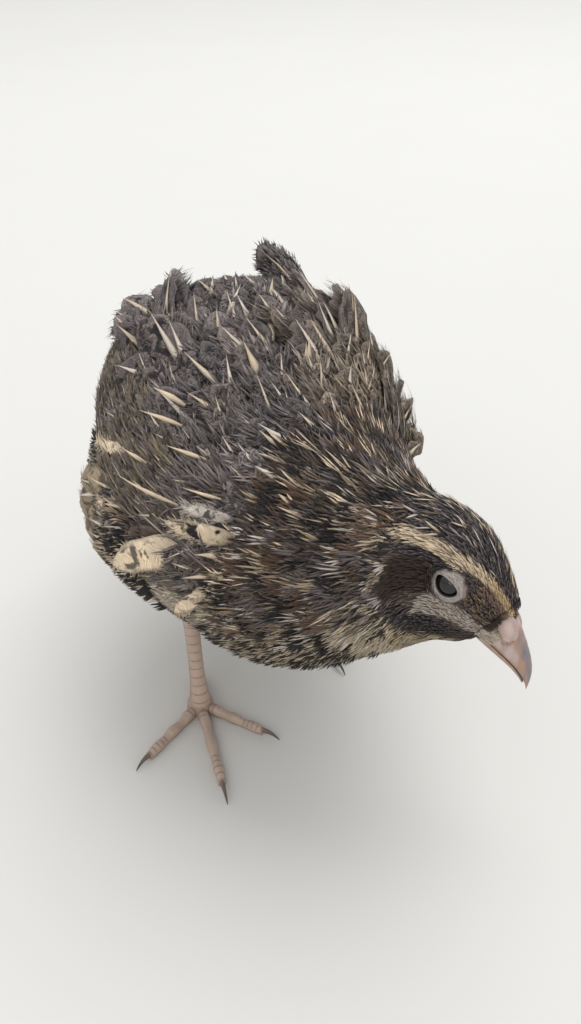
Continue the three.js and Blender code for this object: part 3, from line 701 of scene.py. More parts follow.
# %% Feather materials
def feather_material(name, broad, slant, line_depth, shade_root, roughness):
    """A vane's colour is its ground, then wavy bars and the rim in the second colour, ink blotches, barb lines, and
    shade towards the covered root. A lock has its ground colour as far as the share in pattern.x, and the second
    colour from there to the tip. pattern holds the strengths of rim, bars and blotches, and size holds the length,
    half the width and a random share."""
    material, tree = new_material(name)
    vane = split(tree, join(tree, "UVMap", uv_map="Vane")[0])
    size, pattern = split(tree, attribute(tree, "size")), split(tree, attribute(tree, "pattern"))
    ground, fringe = attribute(tree, "ground"), attribute(tree, "fringe")
    across = times(tree, calc(tree, "SUBTRACT", vane[0], 0.5), 2.0, size[1])
    place = {"Across": calc(tree, "ABSOLUTE", across), "Along": times(tree, vane[1], size[0]), "Seed": size[2]}
    effect = lambda made, **others: join(tree, "Group", {**place, **others}, node_tree=made)[0]
    lines = effect(barbs, Slant=slant)
    if broad:
        barred, blotched = effect(bars, Across=across, Gap=1.2), effect(blotches, Across=across)
        rimmed = join(tree, "Group", {"Across": vane[0], "Along": vane[1]}, node_tree=rim)[0]
        colour = mixed(tree, times(tree, barred, pattern[1]), ground, fringe)
        ink = times(tree, blotched, pattern[2], calc(tree, "SUBTRACT", 1.0, rimmed))
        colour = mixed(tree, ink, colour, (*INK, 1.0))
        colour = mixed(tree, times(tree, rimmed, pattern[0]), colour, fringe)
    else:
        start = calc(tree, "SUBTRACT", vane[1], pattern[0])
        colour = mixed(tree, ramp(tree, start, -0.12, 0.12), ground, fringe)
    lit = ramp(tree, lines, 0.0, 1.0, 1.0 - line_depth / 2, 1.0 + line_depth / 2)
    # painted shade: vanes and locks darken towards the covered root, by shade_root
    shade = times(tree, lit, ramp(tree, vane[1], 0.0, 0.6, 1.0 - shade_root, 1.0))
    shaded(tree, {
        "Base Color": tinted(tree, colour, vector(tree, shade, shade, shade)), "Roughness": roughness,
        "Normal": bump(tree, lines, 0.0002, 0.5), "Specular IOR Level": 0.22, "Sheen Weight": 0.06,
        "Sheen Roughness": 0.4,
    })
    return material


VANES = feather_material("feather vanes", True, 1.3, 0.55, 0.5, 0.65)
LOCKS = feather_material("feather locks", False, 9.0, 0.5, 0.3, 0.72)

# %% [markdown]
# ## Markings
# A quail's markings are bands that follow the body: a dark crown with a thin pale line along its middle, a broad
# cream brow from the bill over the eye to the nape, dark ear feathers, a dark line from the mouth and a buff throat.
# Behind the head come cream shafts between dark sides, ink spots on the breast, buff flanks and a charcoal back. Each
# is a smooth function of station and angle. Skin and feathers both read it, so they always agree.

# %% Markings
BROW = ([5.4, 5.85, 6.2, 6.6, 6.85, 7.03, 7.2, 7.5, 7.9], [27, 32, 39, 49, 54, 55, 48, 40, 33])
MOUSTACHE = ([6.2, 6.4, 6.82, 7.46, 7.8], [104, 114, 136, 137, 135])
CHEEK = ([6.3, 6.9, 7.3, 7.7], [112, 116, 112, 104])


def within(x, middle, half, soft):
    """1 within half of the middle, falling to 0 over soft beyond it."""
    return 1 - smooth(np.abs(x - middle), half, half + soft)


def face_markings(station, side):
    """Shares of the head's markings and the colour they add up to, from station and angle off the back."""
    below_brow = side - np.interp(station, *BROW)
    mouth_line = np.interp(station, *MOUSTACHE)
    part = {
        "crown": 1 - smooth(below_brow, -8, -4),
        "brow": within(below_brow, 0, 5.5, 2.5) * smooth(station, 5.3, 5.7),
        "median": within(side, 0, 1.6, 2.0) * smooth(station, 5.9, 6.3),
        "dark": within(below_brow, 13, 4, 3) * smooth(station, 5.7, 6.1) * (1 - smooth(station, 6.85, 7.0)),
        "moustache": within(side, mouth_line, 8.5, 4),
        "cheek": within(side, np.interp(station, *CHEEK), 9.5, 4) * smooth(station, 6.75, 6.95),
        "ear": within(station, 6.5, 0.25, 0.12) * within(side, 84, 14, 7),
        "behind": within(station, 6.1, 0.1, 0.12) * within(side, 92, 16, 8),
        "lores": smooth(station, 7.33, 7.5) * within(side, 70, 12, 7),
        "warm": smooth(station, 7.35, 7.7) * within(below_brow, 5, 9, 8),
        "throat": smooth(side - mouth_line, 9, 14) * smooth(station, 5.9, 6.3),
    }
    part["moustache"] *= smooth(station, 6.1, 6.4) * (1 - smooth(station, 7.6, 7.85))
    return part, layered(
        blend(UMBER, SLATE, 0.35),
        (BROWN * 1.1, 0.55 * within(side, 104, 12, 10)),
        (CROWN, np.maximum(part["crown"], part["dark"])),
        (PALE * 0.6, part["behind"]),
        (UMBER * 0.85, part["ear"]),
        (UMBER * 0.9, part["lores"]),
        (THROAT * 0.85, part["throat"]),
        (PALE * 0.85, part["cheek"] * 0.85),
        (INK * 2.2, part["moustache"]),
        (blend(CREAM * 0.95, YELLOW, smooth(station, 7.3, 7.6)), part["brow"]),
        (RUFOUS * 1.5, part["warm"] * 0.6 * (1 - part["brow"] * 0.6)),
    )


def markings(station, angle):
    """Shares of the head's markings at a place, by name, and the ground colour that all markings add up to."""
    side = np.abs(angle)
    head = smooth(station, 5.6, 6.1)
    under = smooth(side, 116, 146)
    mantle = within(station, 4.45, 0.35, 0.5) * (1 - smooth(side, 30, 70))
    neck = smooth(station, 4.5, 5.0)
    part, face = face_markings(station, side)
    return part, layered(
        CHARCOAL * 1.3,
        (SLATE, 0.5 * smooth(side, 35, 80)),
        (RUFOUS * 0.62, 0.75 * mantle),
        (blend(BROWN * 0.75, SLATE, 0.35), np.maximum(neck, smooth(side, 70, 95)) * (1 - under)),
        (BUFF * 0.8, smooth(side, 92, 112) * (1 - smooth(station, 3.0, 3.9))),
        (blend(THROAT, PALE, 0.5) * 0.75, under * (1 - head)),
        (PALE * 0.8, smooth(side, 140, 165) * (1 - smooth(station, 3.2, 4.2))),
        (face, head),
        (CREAM, part["brow"] * (1 - head) * 0.8),
    )

# %% [markdown]
# ## Skin
# One skin takes the place of torso, neck, head and thighs, and lies under wings and tail. It is the surface of the
# plumage, drawn in by the depth of the coat, so it only shows as a shade between feathers. Round each eye it sinks
# behind the ball. The thighs are tubes that start inside the body.

# %% Tubes
EYE_OUT, EYE_RADIUS, LID_RADIUS = 5.2, 4.0, 3.45


def coat_depth(station):
    """How far the skin lies under the plumage's surface: 2.4 mm on the body, 0.4 mm on the face."""
    return 2.4 - 2.0 * smooth(station, 4.6, 6.5)


def eye_distance(points):
    """Distance of points to the nearer eye's axis, and how far out along it they are."""
    local = to_head(points)
    return np.hypot(local[..., 0], local[..., 2]), np.abs(local[..., 1])


def tube_faces(rings, steps):
    """Quads of a tube whose rings don't repeat their first point, and triangles to a pole at either end."""
    grid = np.arange(rings * steps).reshape(rings, steps)
    on = np.roll(grid, -1, axis=1)
    quads = np.stack([grid[:-1], grid[1:], on[1:], on[:-1]], axis=-1).reshape(-1, 4)
    poles = rings * steps, rings * steps + 1
    first = np.stack([np.full(steps, poles[0]), grid[0], on[0]], axis=-1)
    last = np.stack([np.full(steps, poles[1]), on[-1], grid[-1]], axis=-1)
    return quads, np.concatenate([first, last])


def with_poles(rings):
    """Rings of points, of shape (ring, step, 3), as one list that ends with the middle of both end rings."""
    return np.concatenate([rings.reshape(-1, 3), rings[0].mean(axis=0)[None], rings[-1].mean(axis=0)[None]])


def corner_map(rings, steps, quads, triangles, low, high):
    """Flat maps of a tube's quads and triangles between two corners of the map, one value per face corner. The tube
    is cut along its first step."""
    def spots(faces):
        inside = faces < rings * steps
        ring = np.where(inside, faces // steps, np.where(faces == rings * steps, 0, rings - 1))
        step = faces % steps
        follows = np.where(inside, step, 0).max(axis=1, keepdims=True)
        step = np.where((step == 0) & (follows > steps / 2), steps, step)
        share = np.stack([np.where(inside, step, follows) / steps, ring / (rings - 1)], axis=-1)
        return (np.array(low) + share * (np.array(high) - low)).reshape(-1, 2)

    return spots(quads), spots(triangles)


def round_grid(shares, steps):
    """Every share with every turn, in radians."""
    return np.meshgrid(shares, np.linspace(0, 2 * np.pi, steps, endpoint=False), indexing="ij")


def thigh_round(side, a, turn, less):
    """Places round a thigh, at share a of the bone and at a turn about it, less deep under the plumage. Also the ways
    out there, and the way down the bone."""
    knee, hock, _, way = leg_line(side)
    bone = hock - knee
    aside = unit(np.cross(bone, way))
    out = aside * np.cos(turn)[..., None] + unit(np.cross(bone, aside)) * np.sin(turn)[..., None]
    radius = thigh_radius(a) - less + 0.3 * a
    return knee + bone * a[..., None] + out * radius[..., None], out, unit(bone)


# %% Skin
def skin():
    """The body's tube on an even grid of stations and angles, and a tube for each thigh."""
    rings, steps = 380, 220
    s = np.linspace(TAIL_END, BILL_AT, rings)
    f = np.linspace(-180, 180, steps, endpoint=False)
    grid_s, grid_f = np.meshgrid(s, f, indexing="ij")
    close = 1 - smooth(grid_s, TAIL_END, TAIL_END + 0.5)
    points = surface(grid_s, grid_f, -coat_depth(grid_s) * (1 - 0.8 * close))
    off_axis, out = eye_distance(points)
    sink = (1 - smooth(off_axis, LID_RADIUS - 0.3, LID_RADIUS + 0.5)) * np.maximum(out - EYE_OUT - 0.6, 0)
    points = points - sink[..., None] * LEFT * np.sign(to_head(points)[..., 1])[..., None] * (grid_s > 6.6)[..., None]
    _, ground = markings(grid_s, grid_f)
    tubes = [(points, ground, (0.0, 0.0), (1.0, 0.84))]
    for n, side in enumerate(HEADINGS):
        tube, _, _ = thigh_round(side, *round_grid(np.linspace(0, 0.98, 24), 40), 1.1)
        buff = np.broadcast_to(BUFF * 0.7, tube.shape)
        tubes.append((tube, buff, (0.5 * n + 0.01, 0.87), (0.5 * n + 0.49, 0.99)))
    found, start = [], 0
    for tube, colour, low, high in tubes:
        quads, triangles = tube_faces(*tube.shape[:2])
        flat = corner_map(*tube.shape[:2], quads, triangles, low, high)
        found.append((with_poles(tube), with_poles(colour), quads + start, triangles + start, *flat))
        start += len(found[-1][0])
    points, ground, quads, triangles, *flat = (np.concatenate(part) for part in zip(*found))
    nodes = ["torso", "neck", "head", "thigh_left", "thigh_right"]
    values, maps = {"ground": ground, "fringe": ground * 0.7}, {"OFBake": np.concatenate(flat)}
    mesh_piece("skin", points, (quads, triangles), values, maps, SKIN, nodes=nodes)


def skin_material():
    """The markings' ground colour, mottled at two scales and darkened: painted shade between feathers."""
    material, tree = new_material("skin")
    fine = noise(tree, object_place(tree), 900.0, 3.0)
    colour = mixed(tree, ramp(tree, fine, 0.35, 0.65), attribute(tree, "ground"), attribute(tree, "fringe"))
    # painted shade: the colour is multiplied by about 0.55, as the skin only shows in the shade between feathers
    shaded(tree, {
        "Base Color": tinted(tree, colour, (0.55, 0.53, 0.52)), "Roughness": 0.85,
        "Normal": bump(tree, fine, 0.0004, 0.7), "Specular IOR Level": 0.2,
    })
    return material


SKIN = skin_material()
skin()

# %% [markdown]
# ## Sizes and colours of many feathers
# Every set of feathers needs the same few things: midlines, and for each feather its width, the lifts of its root
# and tip, and how it tilts and droops. The looks are values too: two colours, and how strong its rim, its bars and
# its blotches are.

# %% Feather batches
def columns(count, values):
    """Values side by side, each given once for all or feather by feather."""
    return np.stack([np.broadcast_to(value, count).astype(float) for value in values], axis=-1)


def sizes(count, width, lift, **others):
    """Sizes of feathers, each given once for all or feather by feather. lift holds the heights of root and tip."""
    given = {"width": width, "bend": 1.2, "tilt": 0.0, "droop": 0.12, "curl": 0.0, "thick": 0.12, **others}
    size = {key: np.broadcast_to(value, count).astype(float) for key, value in given.items()}
    return {**size, "lift": columns(count, lift)}


def looks_of(ground, fringe, pattern, length, width):
    """The values that the feather materials read, each of shape (feather, 3)."""
    count = len(ground)
    return {
        "ground": ground, "fringe": np.broadcast_to(fringe, (count, 3)), "pattern": columns(count, pattern),
        "size": columns(count, (length, np.asarray(width) / 2, chance.random(count))),
    }


def either(count, share):
    """True for about that share of count feathers."""
    return chance.random(count) < share


def about(count, spread):
    """Random shares from 1 - spread to 1 + spread."""
    return 1 + spread * (2 * chance.random(count) - 1)


def some(batch, mask):
    """The feathers of a batch where mask holds."""
    midline, size, looks, spots = batch
    size, looks = ({key: value[mask] for key, value in values.items()} for values in (size, looks))
    return (*(part[mask] for part in midline[:3]), midline[3]), size, looks, spots[mask]


def together(batches):
    """Several batches with the same marks as one."""
    lines, *values, spots = zip(*batches)
    midline = *(np.concatenate(part) for part in list(zip(*lines))[:3]), lines[0][3]
    size, looks = ({key: np.concatenate([one[key] for one in all_of]) for key in all_of[0]} for all_of in values)
    return midline, size, looks, np.concatenate(spots)


def ways_at(station, angle, turn, down):
    """Headings of feathers: over the surface towards the tail, bent to the floor by down, and turned at random by up
    to turn."""
    count = len(station)
    way = unit(surface(station - 0.03, angle) - surface(station + 0.03, angle))
    way = way - UP * np.broadcast_to(down, count)[:, None]
    out = outward(surface(station, angle))
    return around(level(way, out), out, np.radians(turn * (2 * chance.random(count) - 1)))


# %% Free barbs and streaks
def frayed(name, batch, per, reach, inner=0.0, coarse=1.0):
    """Barbs that stand free of the vanes' rims, per each vane, and for the share inner of them loose strands over the
    vane. A barb roots at share a along its vane and c across it, and leans outwards by up to 50 degrees. The strands
    are barbs that cling together, so they are broader, and each has its own tone from ink to ash."""
    (at, out, way, marks), size, looks, spots = batch
    owner = np.repeat(np.arange(len(at)), per)
    total = len(owner)
    loose = either(total, inner)
    a = np.where(loose, 0.3 + 0.55 * chance.random(total), 0.3 + 0.69 * chance.random(total) ** 0.75)
    hand = np.where(either(total, 0.5), -1.0, 1.0)
    to_rim = 0.25 + 0.75 * chance.random(total) ** (0.35 + 1.6 * smooth(a, 0.8, 1.0))
    c = hand * np.where(loose, 0.85 * chance.random(total), to_rim)
    step = np.clip(np.searchsorted(marks, a, side="right") - 1, 0, len(marks) - 2)
    share = ((a - marks[step]) / (marks[step + 1] - marks[step]))[:, None]
    between = lambda part: part[owner, step] * (1 - share) + part[owner, step + 1] * share
    here, up, on = between(at), unit(between(out)), unit(between(way))
    size, looks = ({key: value[owner] for key, value in values.items()} for values in (size, looks))
    half = size["width"] / 2 * vane_shape(a)
    raised = height_over(size, a[:, None])[:, 0] + half * (size["tilt"] * c - size["droop"] * c ** 2)
    aside = np.cross(on, up)
    root = here + aside * (half * c * 0.96)[:, None] + up * (raised + 0.03 + 0.1 * loose)[:, None]
    lean = np.radians(c * (16 + 34 * chance.random(total)) * np.where(loose, 0.6, 1.0))[:, None]
    length = reach * (0.4 + 0.9 * chance.random(total)) * (0.7 + 0.6 * a) * (1 + 0.6 * loose)
    rise = (0.3 * (chance.random(total) - 0.42) * length)[:, None, None] * up[:, None]
    line, *rest = straight(root, on * np.cos(lean) + aside * np.sin(lean), length, up, BARB_MARKS)
    line = line + rise * (BARB_MARKS ** 2)[:, None]
    broad = coarse * np.where(loose, 0.25 + 0.55 * chance.random(total), 0.12 + 0.18 * chance.random(total))
    share = chance.random(total) ** 1.5 * 0.6
    ground = blend(looks["ground"], looks["fringe"], share)
    ground = ground * np.where(loose, 0.35 + 1.2 * chance.random(total) ** 1.3, about(total, 0.25))[:, None]
    luck = chance.random(total)
    dark = loose & (luck < 0.95 * looks["pattern"][:, 2] * (1.1 - a) * (1.2 - np.abs(c)))
    ashen = loose & ~dark & (luck > 0.95 - 0.3 * a)
    ground = layered(ground, (INK * 1.4, dark), (looks["fringe"] * 1.1, ashen))
    fringe = blend(ground, looks["fringe"], np.minimum(share + 0.3, 1))
    looks = looks_of(ground, fringe, (0.6, 0, 0), length, broad)
    locks(name, ((line, *rest), sizes(total, broad, (0, 0), thick=0.06), looks, spots[owner]), (1.0, 0.8))


def streaked(name, batch, width, colour, raised=0.0):
    """The pale streak on each vane's shaft: a needle, as broad as width where the next row covers it, and drawn out
    to nothing at the tip."""
    midline, size, _, spots = batch
    size = {**size, "width": width, "lift": size["lift"] + raised + [0.16, 0.3], "thick": np.full(len(width), 0.14)}
    a = midline[3][:-1]
    taper = np.minimum(1, 1.7 * (1 - a)) ** 1.25 * np.minimum(1, 0.5 + 2 * a)
    looks = looks_of(colour, PALE * 1.1, (1.4, 0, 0), lengths(midline), width)
    locks(name, (midline, size, looks, spots), taper)


def streak_colours(count):
    """Cream, from nearly white to a warm buff."""
    warm = chance.random(count)[:, None]
    return PALE * 1.1 * (1 - warm) + (CREAM * 0.6 + BUFF * 0.55) * warm


# %% [markdown]
# ## Feathers of the back
# The quail in the photo has ruffled its back. Broad charcoal feathers stand off the body, each with a rounded, frayed
# end, fine wavy bars, inky blotches and a pale rim. On most lies a cream shaft streak. The rows run from the mantle
# to the tail, and on the sides they hang over the folded wings.

# %% Back and shoulder feathers
def side_limit(s, f):
    """How far down the side the back's feathers reach. On the right, where they are most ruffled, they hide the wing
    but for its lowest feathers."""
    left = 60 + 30 * smooth(s, 2.0, 3.2) - 14 * smooth(s, 4.2, 4.7)
    right = 66 + 12 * smooth(s, 0.5, 1.2) + 16 * smooth(s, 2.2, 3.0) - 14 * smooth(s, 4.2, 4.7)
    return np.where(f < 0, right, left)


# Heights that the tips reach at the photo's outline, by angle, and the stations of their roots.
CREST = ([-106, -84, -74, -64, -50, -44, -32, -24, -18, -4, 16, 38, 46, 56, 66, 90],
         [-0.5, -0.6, -2.4, -0.2, 0.8, 5.6, 7.2, 3.4, 2.2, 3.0, 1.0, 1.0, 7.0, 3.4, 5.6, 2.0])
CREST_AT = ([-100, -80, -60, 30, 40, 50, 58, 64, 68], [2.8, 2.5, 2.15, 2.15, 2.3, 2.7, 3.05, 3.8, 4.2])


def back():
    """Vanes, free barbs and streaks of the back. A tip stands as high as a random ruffle says, but near the crest,
    the band of roots whose feathers make the outline, it stands as high as the table says."""
    row_gap, feather_gap = narrowing(5.3, 2.1, 3.1, 4.7), narrowing(6.0, 2.4, 3.1, 4.7)
    s, f = rooted((-0.45, 4.75), (-98, 90), row_gap, feather_gap, 0.85, lambda s, f: np.abs(f) < side_limit(s, f))
    count = len(s)
    points = surface(s, f)
    rear = 1 - smooth(s, 2.4, 4.5)
    end = 1 - smooth(s, -0.5, 1.2)
    low = smooth(np.abs(f), 45, 80)
    length = (9.0 + 5.5 * rear - 2.5 * end) * about(count, 0.22)
    width = (5.2 + 3.0 * rear - 2.2 * end) * about(count, 0.28)
    over_wing = smooth(np.abs(f), 50, 62) * smooth(s, 1.2, 2.0)
    tuft = 1 + 0.9 * mottle(points, 20.0, 4)
    near_crest = np.exp(-((s - np.interp(f, *CREST_AT)) / 0.6) ** 2)
    ruffle = (0.5 + 3.4 * rear * chance.random(count) ** 1.5 * np.maximum(tuft, 0.1)) * (1 - 0.75 * end)
    ruffle = ruffle * (1 - 0.8 * smooth(-f, 56, 70) * (1 - smooth(s, 3.0, 3.6)))
    ruffle = ruffle * (1 - near_crest) + np.interp(f, *CREST) * near_crest * about(count, 0.12)
    lift = -1.6 + 0.5 * over_wing, 0.4 + ruffle + 0.5 * over_wing
    turn = 22 + 14 * (mottle(points, 14.0, 5) > 0.3)
    midline = comb(points, ways_at(s, f, turn=turn, down=0.16 * low), length, VANE_MARKS)
    size = sizes(
        count, width, lift, bend=0.9 + 0.8 * chance.random(count), tilt=0.5 * (chance.random(count) - 0.5),
        droop=0.02 + 0.2 * chance.random(count), curl=1.2 * chance.random(count) - 0.6,
    )
    warm = np.clip(smooth(f, -15, 45) * smooth(s, 1.8, 3.4) + 0.35 * mottle(points, 16.0, 6), 0, 1)
    patchy = np.clip(0.5 + 0.55 * mottle(points, 8.0, 9) + 0.5 * (chance.random(count) - 0.5), 0, 1)
    ground = blend(CHARCOAL * 0.7, MAUVE, 0.8 * patchy)
    ground = blend(ground, BROWN * 1.1, 0.65 * warm) * about(count, 0.25)[:, None]
    fringe = blend(ASH, BUFF * 0.85, np.clip(0.8 * warm + 0.3 * chance.random(count) * low, 0, 1))
    fringe = fringe * 1.15 * about(count, 0.35)[:, None]
    inky = smooth(chance.random(count) + 0.3 * mottle(points, 12.0, 8), 0.15, 0.55) * (0.6 + 0.4 * rear)
    looks = looks_of(ground, fringe, (0.3, 0.2 + 0.6 * chance.random(count), inky), length, width)
    batch = midline, size, looks, unwrap(s, f)
    leaves("back_feathers", batch, 0.7)
    third = np.arange(count) * 3 // count
    for n in range(3):
        frayed(f"back_barbs_{n + 1}", some(batch, third == n), 120, 3.4, inner=0.66, coarse=1.4)
    has = either(count, 0.85 - 0.3 * smooth(s, 3.6, 4.6)) & (s > 0.2)
    streak_width = np.minimum((0.15 + 0.16 * chance.random(count)) * width, 2.2)
    streaked("back_streaks", some(batch, has), streak_width[has], streak_colours(has.sum()), raised=0.55)
    print("back feathers", count, "streaked", int(has.sum()))


back()

# %% [markdown]
# ## Small feathers as bundles of locks
# On the neck, breast, flanks and belly a feather is too soft to show as one vane. Its barbs cling together in a few
# pointed locks: the middle ones are the pale shaft streak, those beside it are dark, and the outermost take the
# colour of the rim. So each feather is a small fan of locks that share a root.

# %% Bundles of locks
def bundles(name, places, per, length, width, lift, colours, turn, fan=24.0, down=0.0, thick=0.12, bow=0.12):
    """A fan of per locks for each place. Lock k sits at c from -1 to 1 across the feather, is turned by fan c and is
    shorter by 0.22 c^2. bow bends a lock aside, by that share of its length at most."""
    station, angle = places
    count = len(station)
    owner = np.repeat(np.arange(count), per)
    total = len(owner)
    c = np.tile(np.linspace(-1, 1, per) if per > 1 else np.zeros(1), count)
    c = c + 0.5 * (chance.random(total) - 0.5) / max(per - 1, 1)
    fill = lambda x: np.broadcast_to(x, count)[owner]
    way, out = ways_at(station, angle, turn, down)[owner], outward(surface(station, angle))[owner]
    side = np.cross(way, out)
    full = fill(width)
    roots = surface(station, angle)[owner] + side * (0.3 * full * c)[:, None]
    way = around(way, out, -np.radians(fan * c * about(total, 0.4)))
    own_length = fill(length) * (1 - 0.22 * c ** 2) * about(total, 0.18)
    at, out, way, marks = comb(roots, way, own_length, LOCK_MARKS)
    bent = bow * (chance.random(total) + chance.random(total) - 1) * own_length
    at = at + np.cross(way, out) * (bent[:, None] * marks ** 2)[..., None]
    root, tip = (fill(height) for height in lift)
    tip = tip + 0.5 * (chance.random(total) - 0.5) * np.minimum(1, full / 3)
    domed = 0.15 * (1 - c ** 2) * np.minimum(1, full / 3)
    width = full / per * 1.75 * about(total, 0.25)
    ground, fringe, start = colours(owner, c)
    looks = looks_of(ground, fringe, (start, 0, 0), own_length, width)
    spots = unwrap(station[owner], angle[owner])
    spots = spots + np.stack([0.0012 * c, 0.0008 * (chance.random(total) - 0.5)], axis=-1)
    locks(name, ((at, out, way, marks), sizes(total, width, (root + domed, tip + domed), thick=thick), looks, spots))


# %% Colours of body locks
def body_colours(station, angle):
    """Colours of the fans of neck, breast, belly and rump. Dark, brown and grey fans stand in patches of about 9 mm.
    On the breast pale feathers carry dark spots, on the belly they are plain."""
    _, ground = markings(station, angle)
    points = surface(station, angle)
    count = len(station)
    clump = mottle(points, 9.0, 3) + 0.5 * mottle(points, 4.0, 13)
    tone = about(count, 0.28)
    shafted = either(count, 0.12 + 0.3 * clump)
    blotched = either(count, 0.45 - 0.7 * clump)
    rusty = either(count, 0.5 + 0.3 * mottle(points, 8.0, 15))
    under = smooth(np.abs(angle) + 8 * clump, 96, 116)
    belly = smooth(np.abs(angle), 128, 155) * (1 - smooth(station, 3.6, 4.8))

    def colours(owner, c):
        near, total = np.abs(c), len(owner)
        dark, below = blotched[owner], under[owner]
        fleck = chance.random(total)
        shaft = blend(CREAM, PALE * 0.95, chance.random(total))
        plain = blend(ground[owner], blend(BROWN * 1.2, RUFOUS, chance.random(total)), 0.6 * rusty[owner])
        outer = blend(plain * np.where(dark, 0.5, 1.2)[:, None], BUFF * 0.7, fleck < 0.1)
        pale = blend(THROAT * 0.85, PALE * 0.85, chance.random(total))
        spot = (near < 0.6) & dark
        pale = blend(pale, blend(INK * 1.3, UMBER * 0.6, chance.random(total)), spot)
        soft = blend(PALE, BUFF * 1.1, chance.random(total) * 0.7)
        colour = layered(
            plain * 0.9, (INK * 1.6, dark), (shaft * 0.85, (near < 0.3) & shafted[owner]), (outer, near >= 0.7),
            (pale, below), (soft, belly[owner] * 0.9),
        )
        colour = colour * (tone[owner] * about(total, 0.15))[:, None]
        tips = blend(blend(colour, ASH * 1.2, 0.4 * (1 - below)), colour, spot & (below > 0.5))
        return colour, tips, 0.7 + 0.6 * (fleck > 0.5)

    return colours


def strokes(name, stations, angles, gap, per, length, width, lift, tones, keep=None, down=0.0, fan=16.0):
    """Small fans of one colour each over the rest of the coat, such as cream shafts or ink spots. Each fan draws its
    colour from tones, and keep says where they may stand."""
    s, f = rooted(stations, angles, even(gap), even(gap), 0.95, keep)
    tone = np.array(tones)[chance.integers(len(tones), size=len(s))] * about(len(s), 0.2)[:, None]

    def colours(owner, c):
        shade = tone[owner] * about(len(owner), 0.15)[:, None]
        return shade, shade * 0.8, np.full(len(owner), 0.9)

    long = length * about(len(s), 0.3)
    bundles(name, (s, f), per, long, width, lift, colours, 18.0, fan=fan, down=down, bow=0.2)


def body_gap(s, f):
    """Between fans: 3.2 mm on the belly, 2.4 mm on the breast, 1.7 mm on the neck."""
    return 3.2 - 0.8 * smooth(s, 3.0, 4.4) - 0.75 * smooth(s, 4.6, 6.0)


def fans(name, stations, angles, per, keep=None, down=0.0, turn=12.0):
    """Fans over a region, longer at the rear."""
    s, f = rooted(stations, angles, body_gap, body_gap, 0.6, keep)
    front = smooth(s, 3.0, 5.8)
    lift, colours = (-1.5 + 0.9 * front, 0.9 - 0.35 * front), body_colours(s, f)
    bundles(name, (s, f), per, 10.5 - 5.1 * front, 3.9 - 1.6 * front, lift, colours, turn, down=down)


def below_back(s, f):
    """True under the lowest feathers of the back."""
    turn = (f + 180) % 360 - 180
    return np.abs(turn) > side_limit(s, turn) - 12


fans("neck_locks", (4.55, 5.5), (-180, 180), 8, turn=16)
fans("nape_locks", (5.4, 6.4), (-180, 180), 7)
fans("breast_locks", (3.0, 4.65), (64, 296), 9, keep=below_back, down=0.1, turn=16)
upper_side = lambda s, f: (np.abs((f + 180) % 360 - 180) < 104) & below_back(s, f)
cream_tones = [CREAM * 0.9, PALE * 0.85, CREAM * 0.75, BUFF * 1.05, BUFF * 0.8, BROWN * 2.2]
dark_tones = [INK, INK * 1.6, UMBER, BROWN, RUFOUS * 0.6, MAUVE]
strokes("neck_dark", (4.5, 6.35), (-108, 108), 3.6, 8, 6.0, 2.9, (-0.4, 1.0), dark_tones, fan=22.0)
strokes("neck_cream", (4.5, 6.3), (-124, 124), 4.3, 3, 7.0, 0.85, (-0.2, 1.2), cream_tones, fan=6.0)
strokes("breast_dark", (3.1, 4.6), (78, 282), 4.0, 7, 5.0, 2.6, (-0.5, 1.3), dark_tones, keep=upper_side)
strokes("breast_spots", (3.1, 5.6), (112, 248), 3.6, 5, 3.4, 2.2, (-0.3, 1.2), [INK, INK * 1.6, UMBER])
strokes("breast_cream", (3.1, 4.6), (70, 290), 4.6, 3, 7.5, 1.0, (-0.4, 1.6), cream_tones, keep=upper_side, fan=7.0)
fans("belly_locks", (-0.7, 3.1), (96, 264), 7, down=0.12)
fans("rump_locks", (-0.75, 0.3), (-96, 96), 6)

# %% [markdown]
# ## Flanks
# The flank feathers are broad and soft, buff with black strokes on either side of a cream shaft, and they hang over
# the lower edge of the wing. They are vanes like those of the back, set lower and combed down to the thigh.

# %% Flank feathers
def under_wing(highest):
    """Where feathers of a flank may root: below an angle, and 12 degrees lower at the rear."""
    return lambda s, f: np.abs(f) > highest + 12 * (1 - smooth(s, 1.6, 2.6))


def flank(name, hand, highest):
    """Vanes, free barbs and streaks of one flank, from its highest angle down."""
    s, f = rooted((0.9, 4.0), sorted((hand * highest, hand * 122)), even(4.2), even(4.4), 0.6, under_wing(highest))
    count = len(s)
    length, width = 12.5 * about(count, 0.12), 7.2 * about(count, 0.15)
    upper = 1 - smooth(np.abs(f), 90, 108)
    bulge = np.exp(-((s - 3.1) / 0.45) ** 2)
    lift = -1.2 + 1.6 * upper, 0.5 + 3.0 * bulge + 0.8 * chance.random(count)
    midline = comb(surface(s, f), ways_at(s, f, turn=14, down=0.1 + 0.35 * upper), length, VANE_MARKS)
    size = sizes(
        count, width, lift, bend=0.8, tilt=0.3 * (chance.random(count) - 0.5),
        droop=0.1 + 0.15 * chance.random(count), curl=0.9 * chance.random(count) - 0.2,
    )
    front = smooth(s, 2.9, 3.9)
    ground = blend(BUFF * 0.75, BROWN * 1.2, 0.5 * chance.random(count) + 0.4 * front) * about(count, 0.2)[:, None]
    fringe = blend(CREAM * 0.75, BUFF, chance.random(count)) * about(count, 0.15)[:, None]
    looks = looks_of(ground, fringe, (0.6, 0.25, 0.55 + 0.45 * chance.random(count)), length, width)
    batch = midline, size, looks, unwrap(s, f)
    leaves(name, batch, 0.18)
    frayed(name + "_barbs", batch, 56, 2.6)
    has = either(count, 0.7)
    widths = 1.0 + 0.9 * chance.random(has.sum())
    streaked(name + "_streaks", some(batch, has), widths, streak_colours(has.sum()))


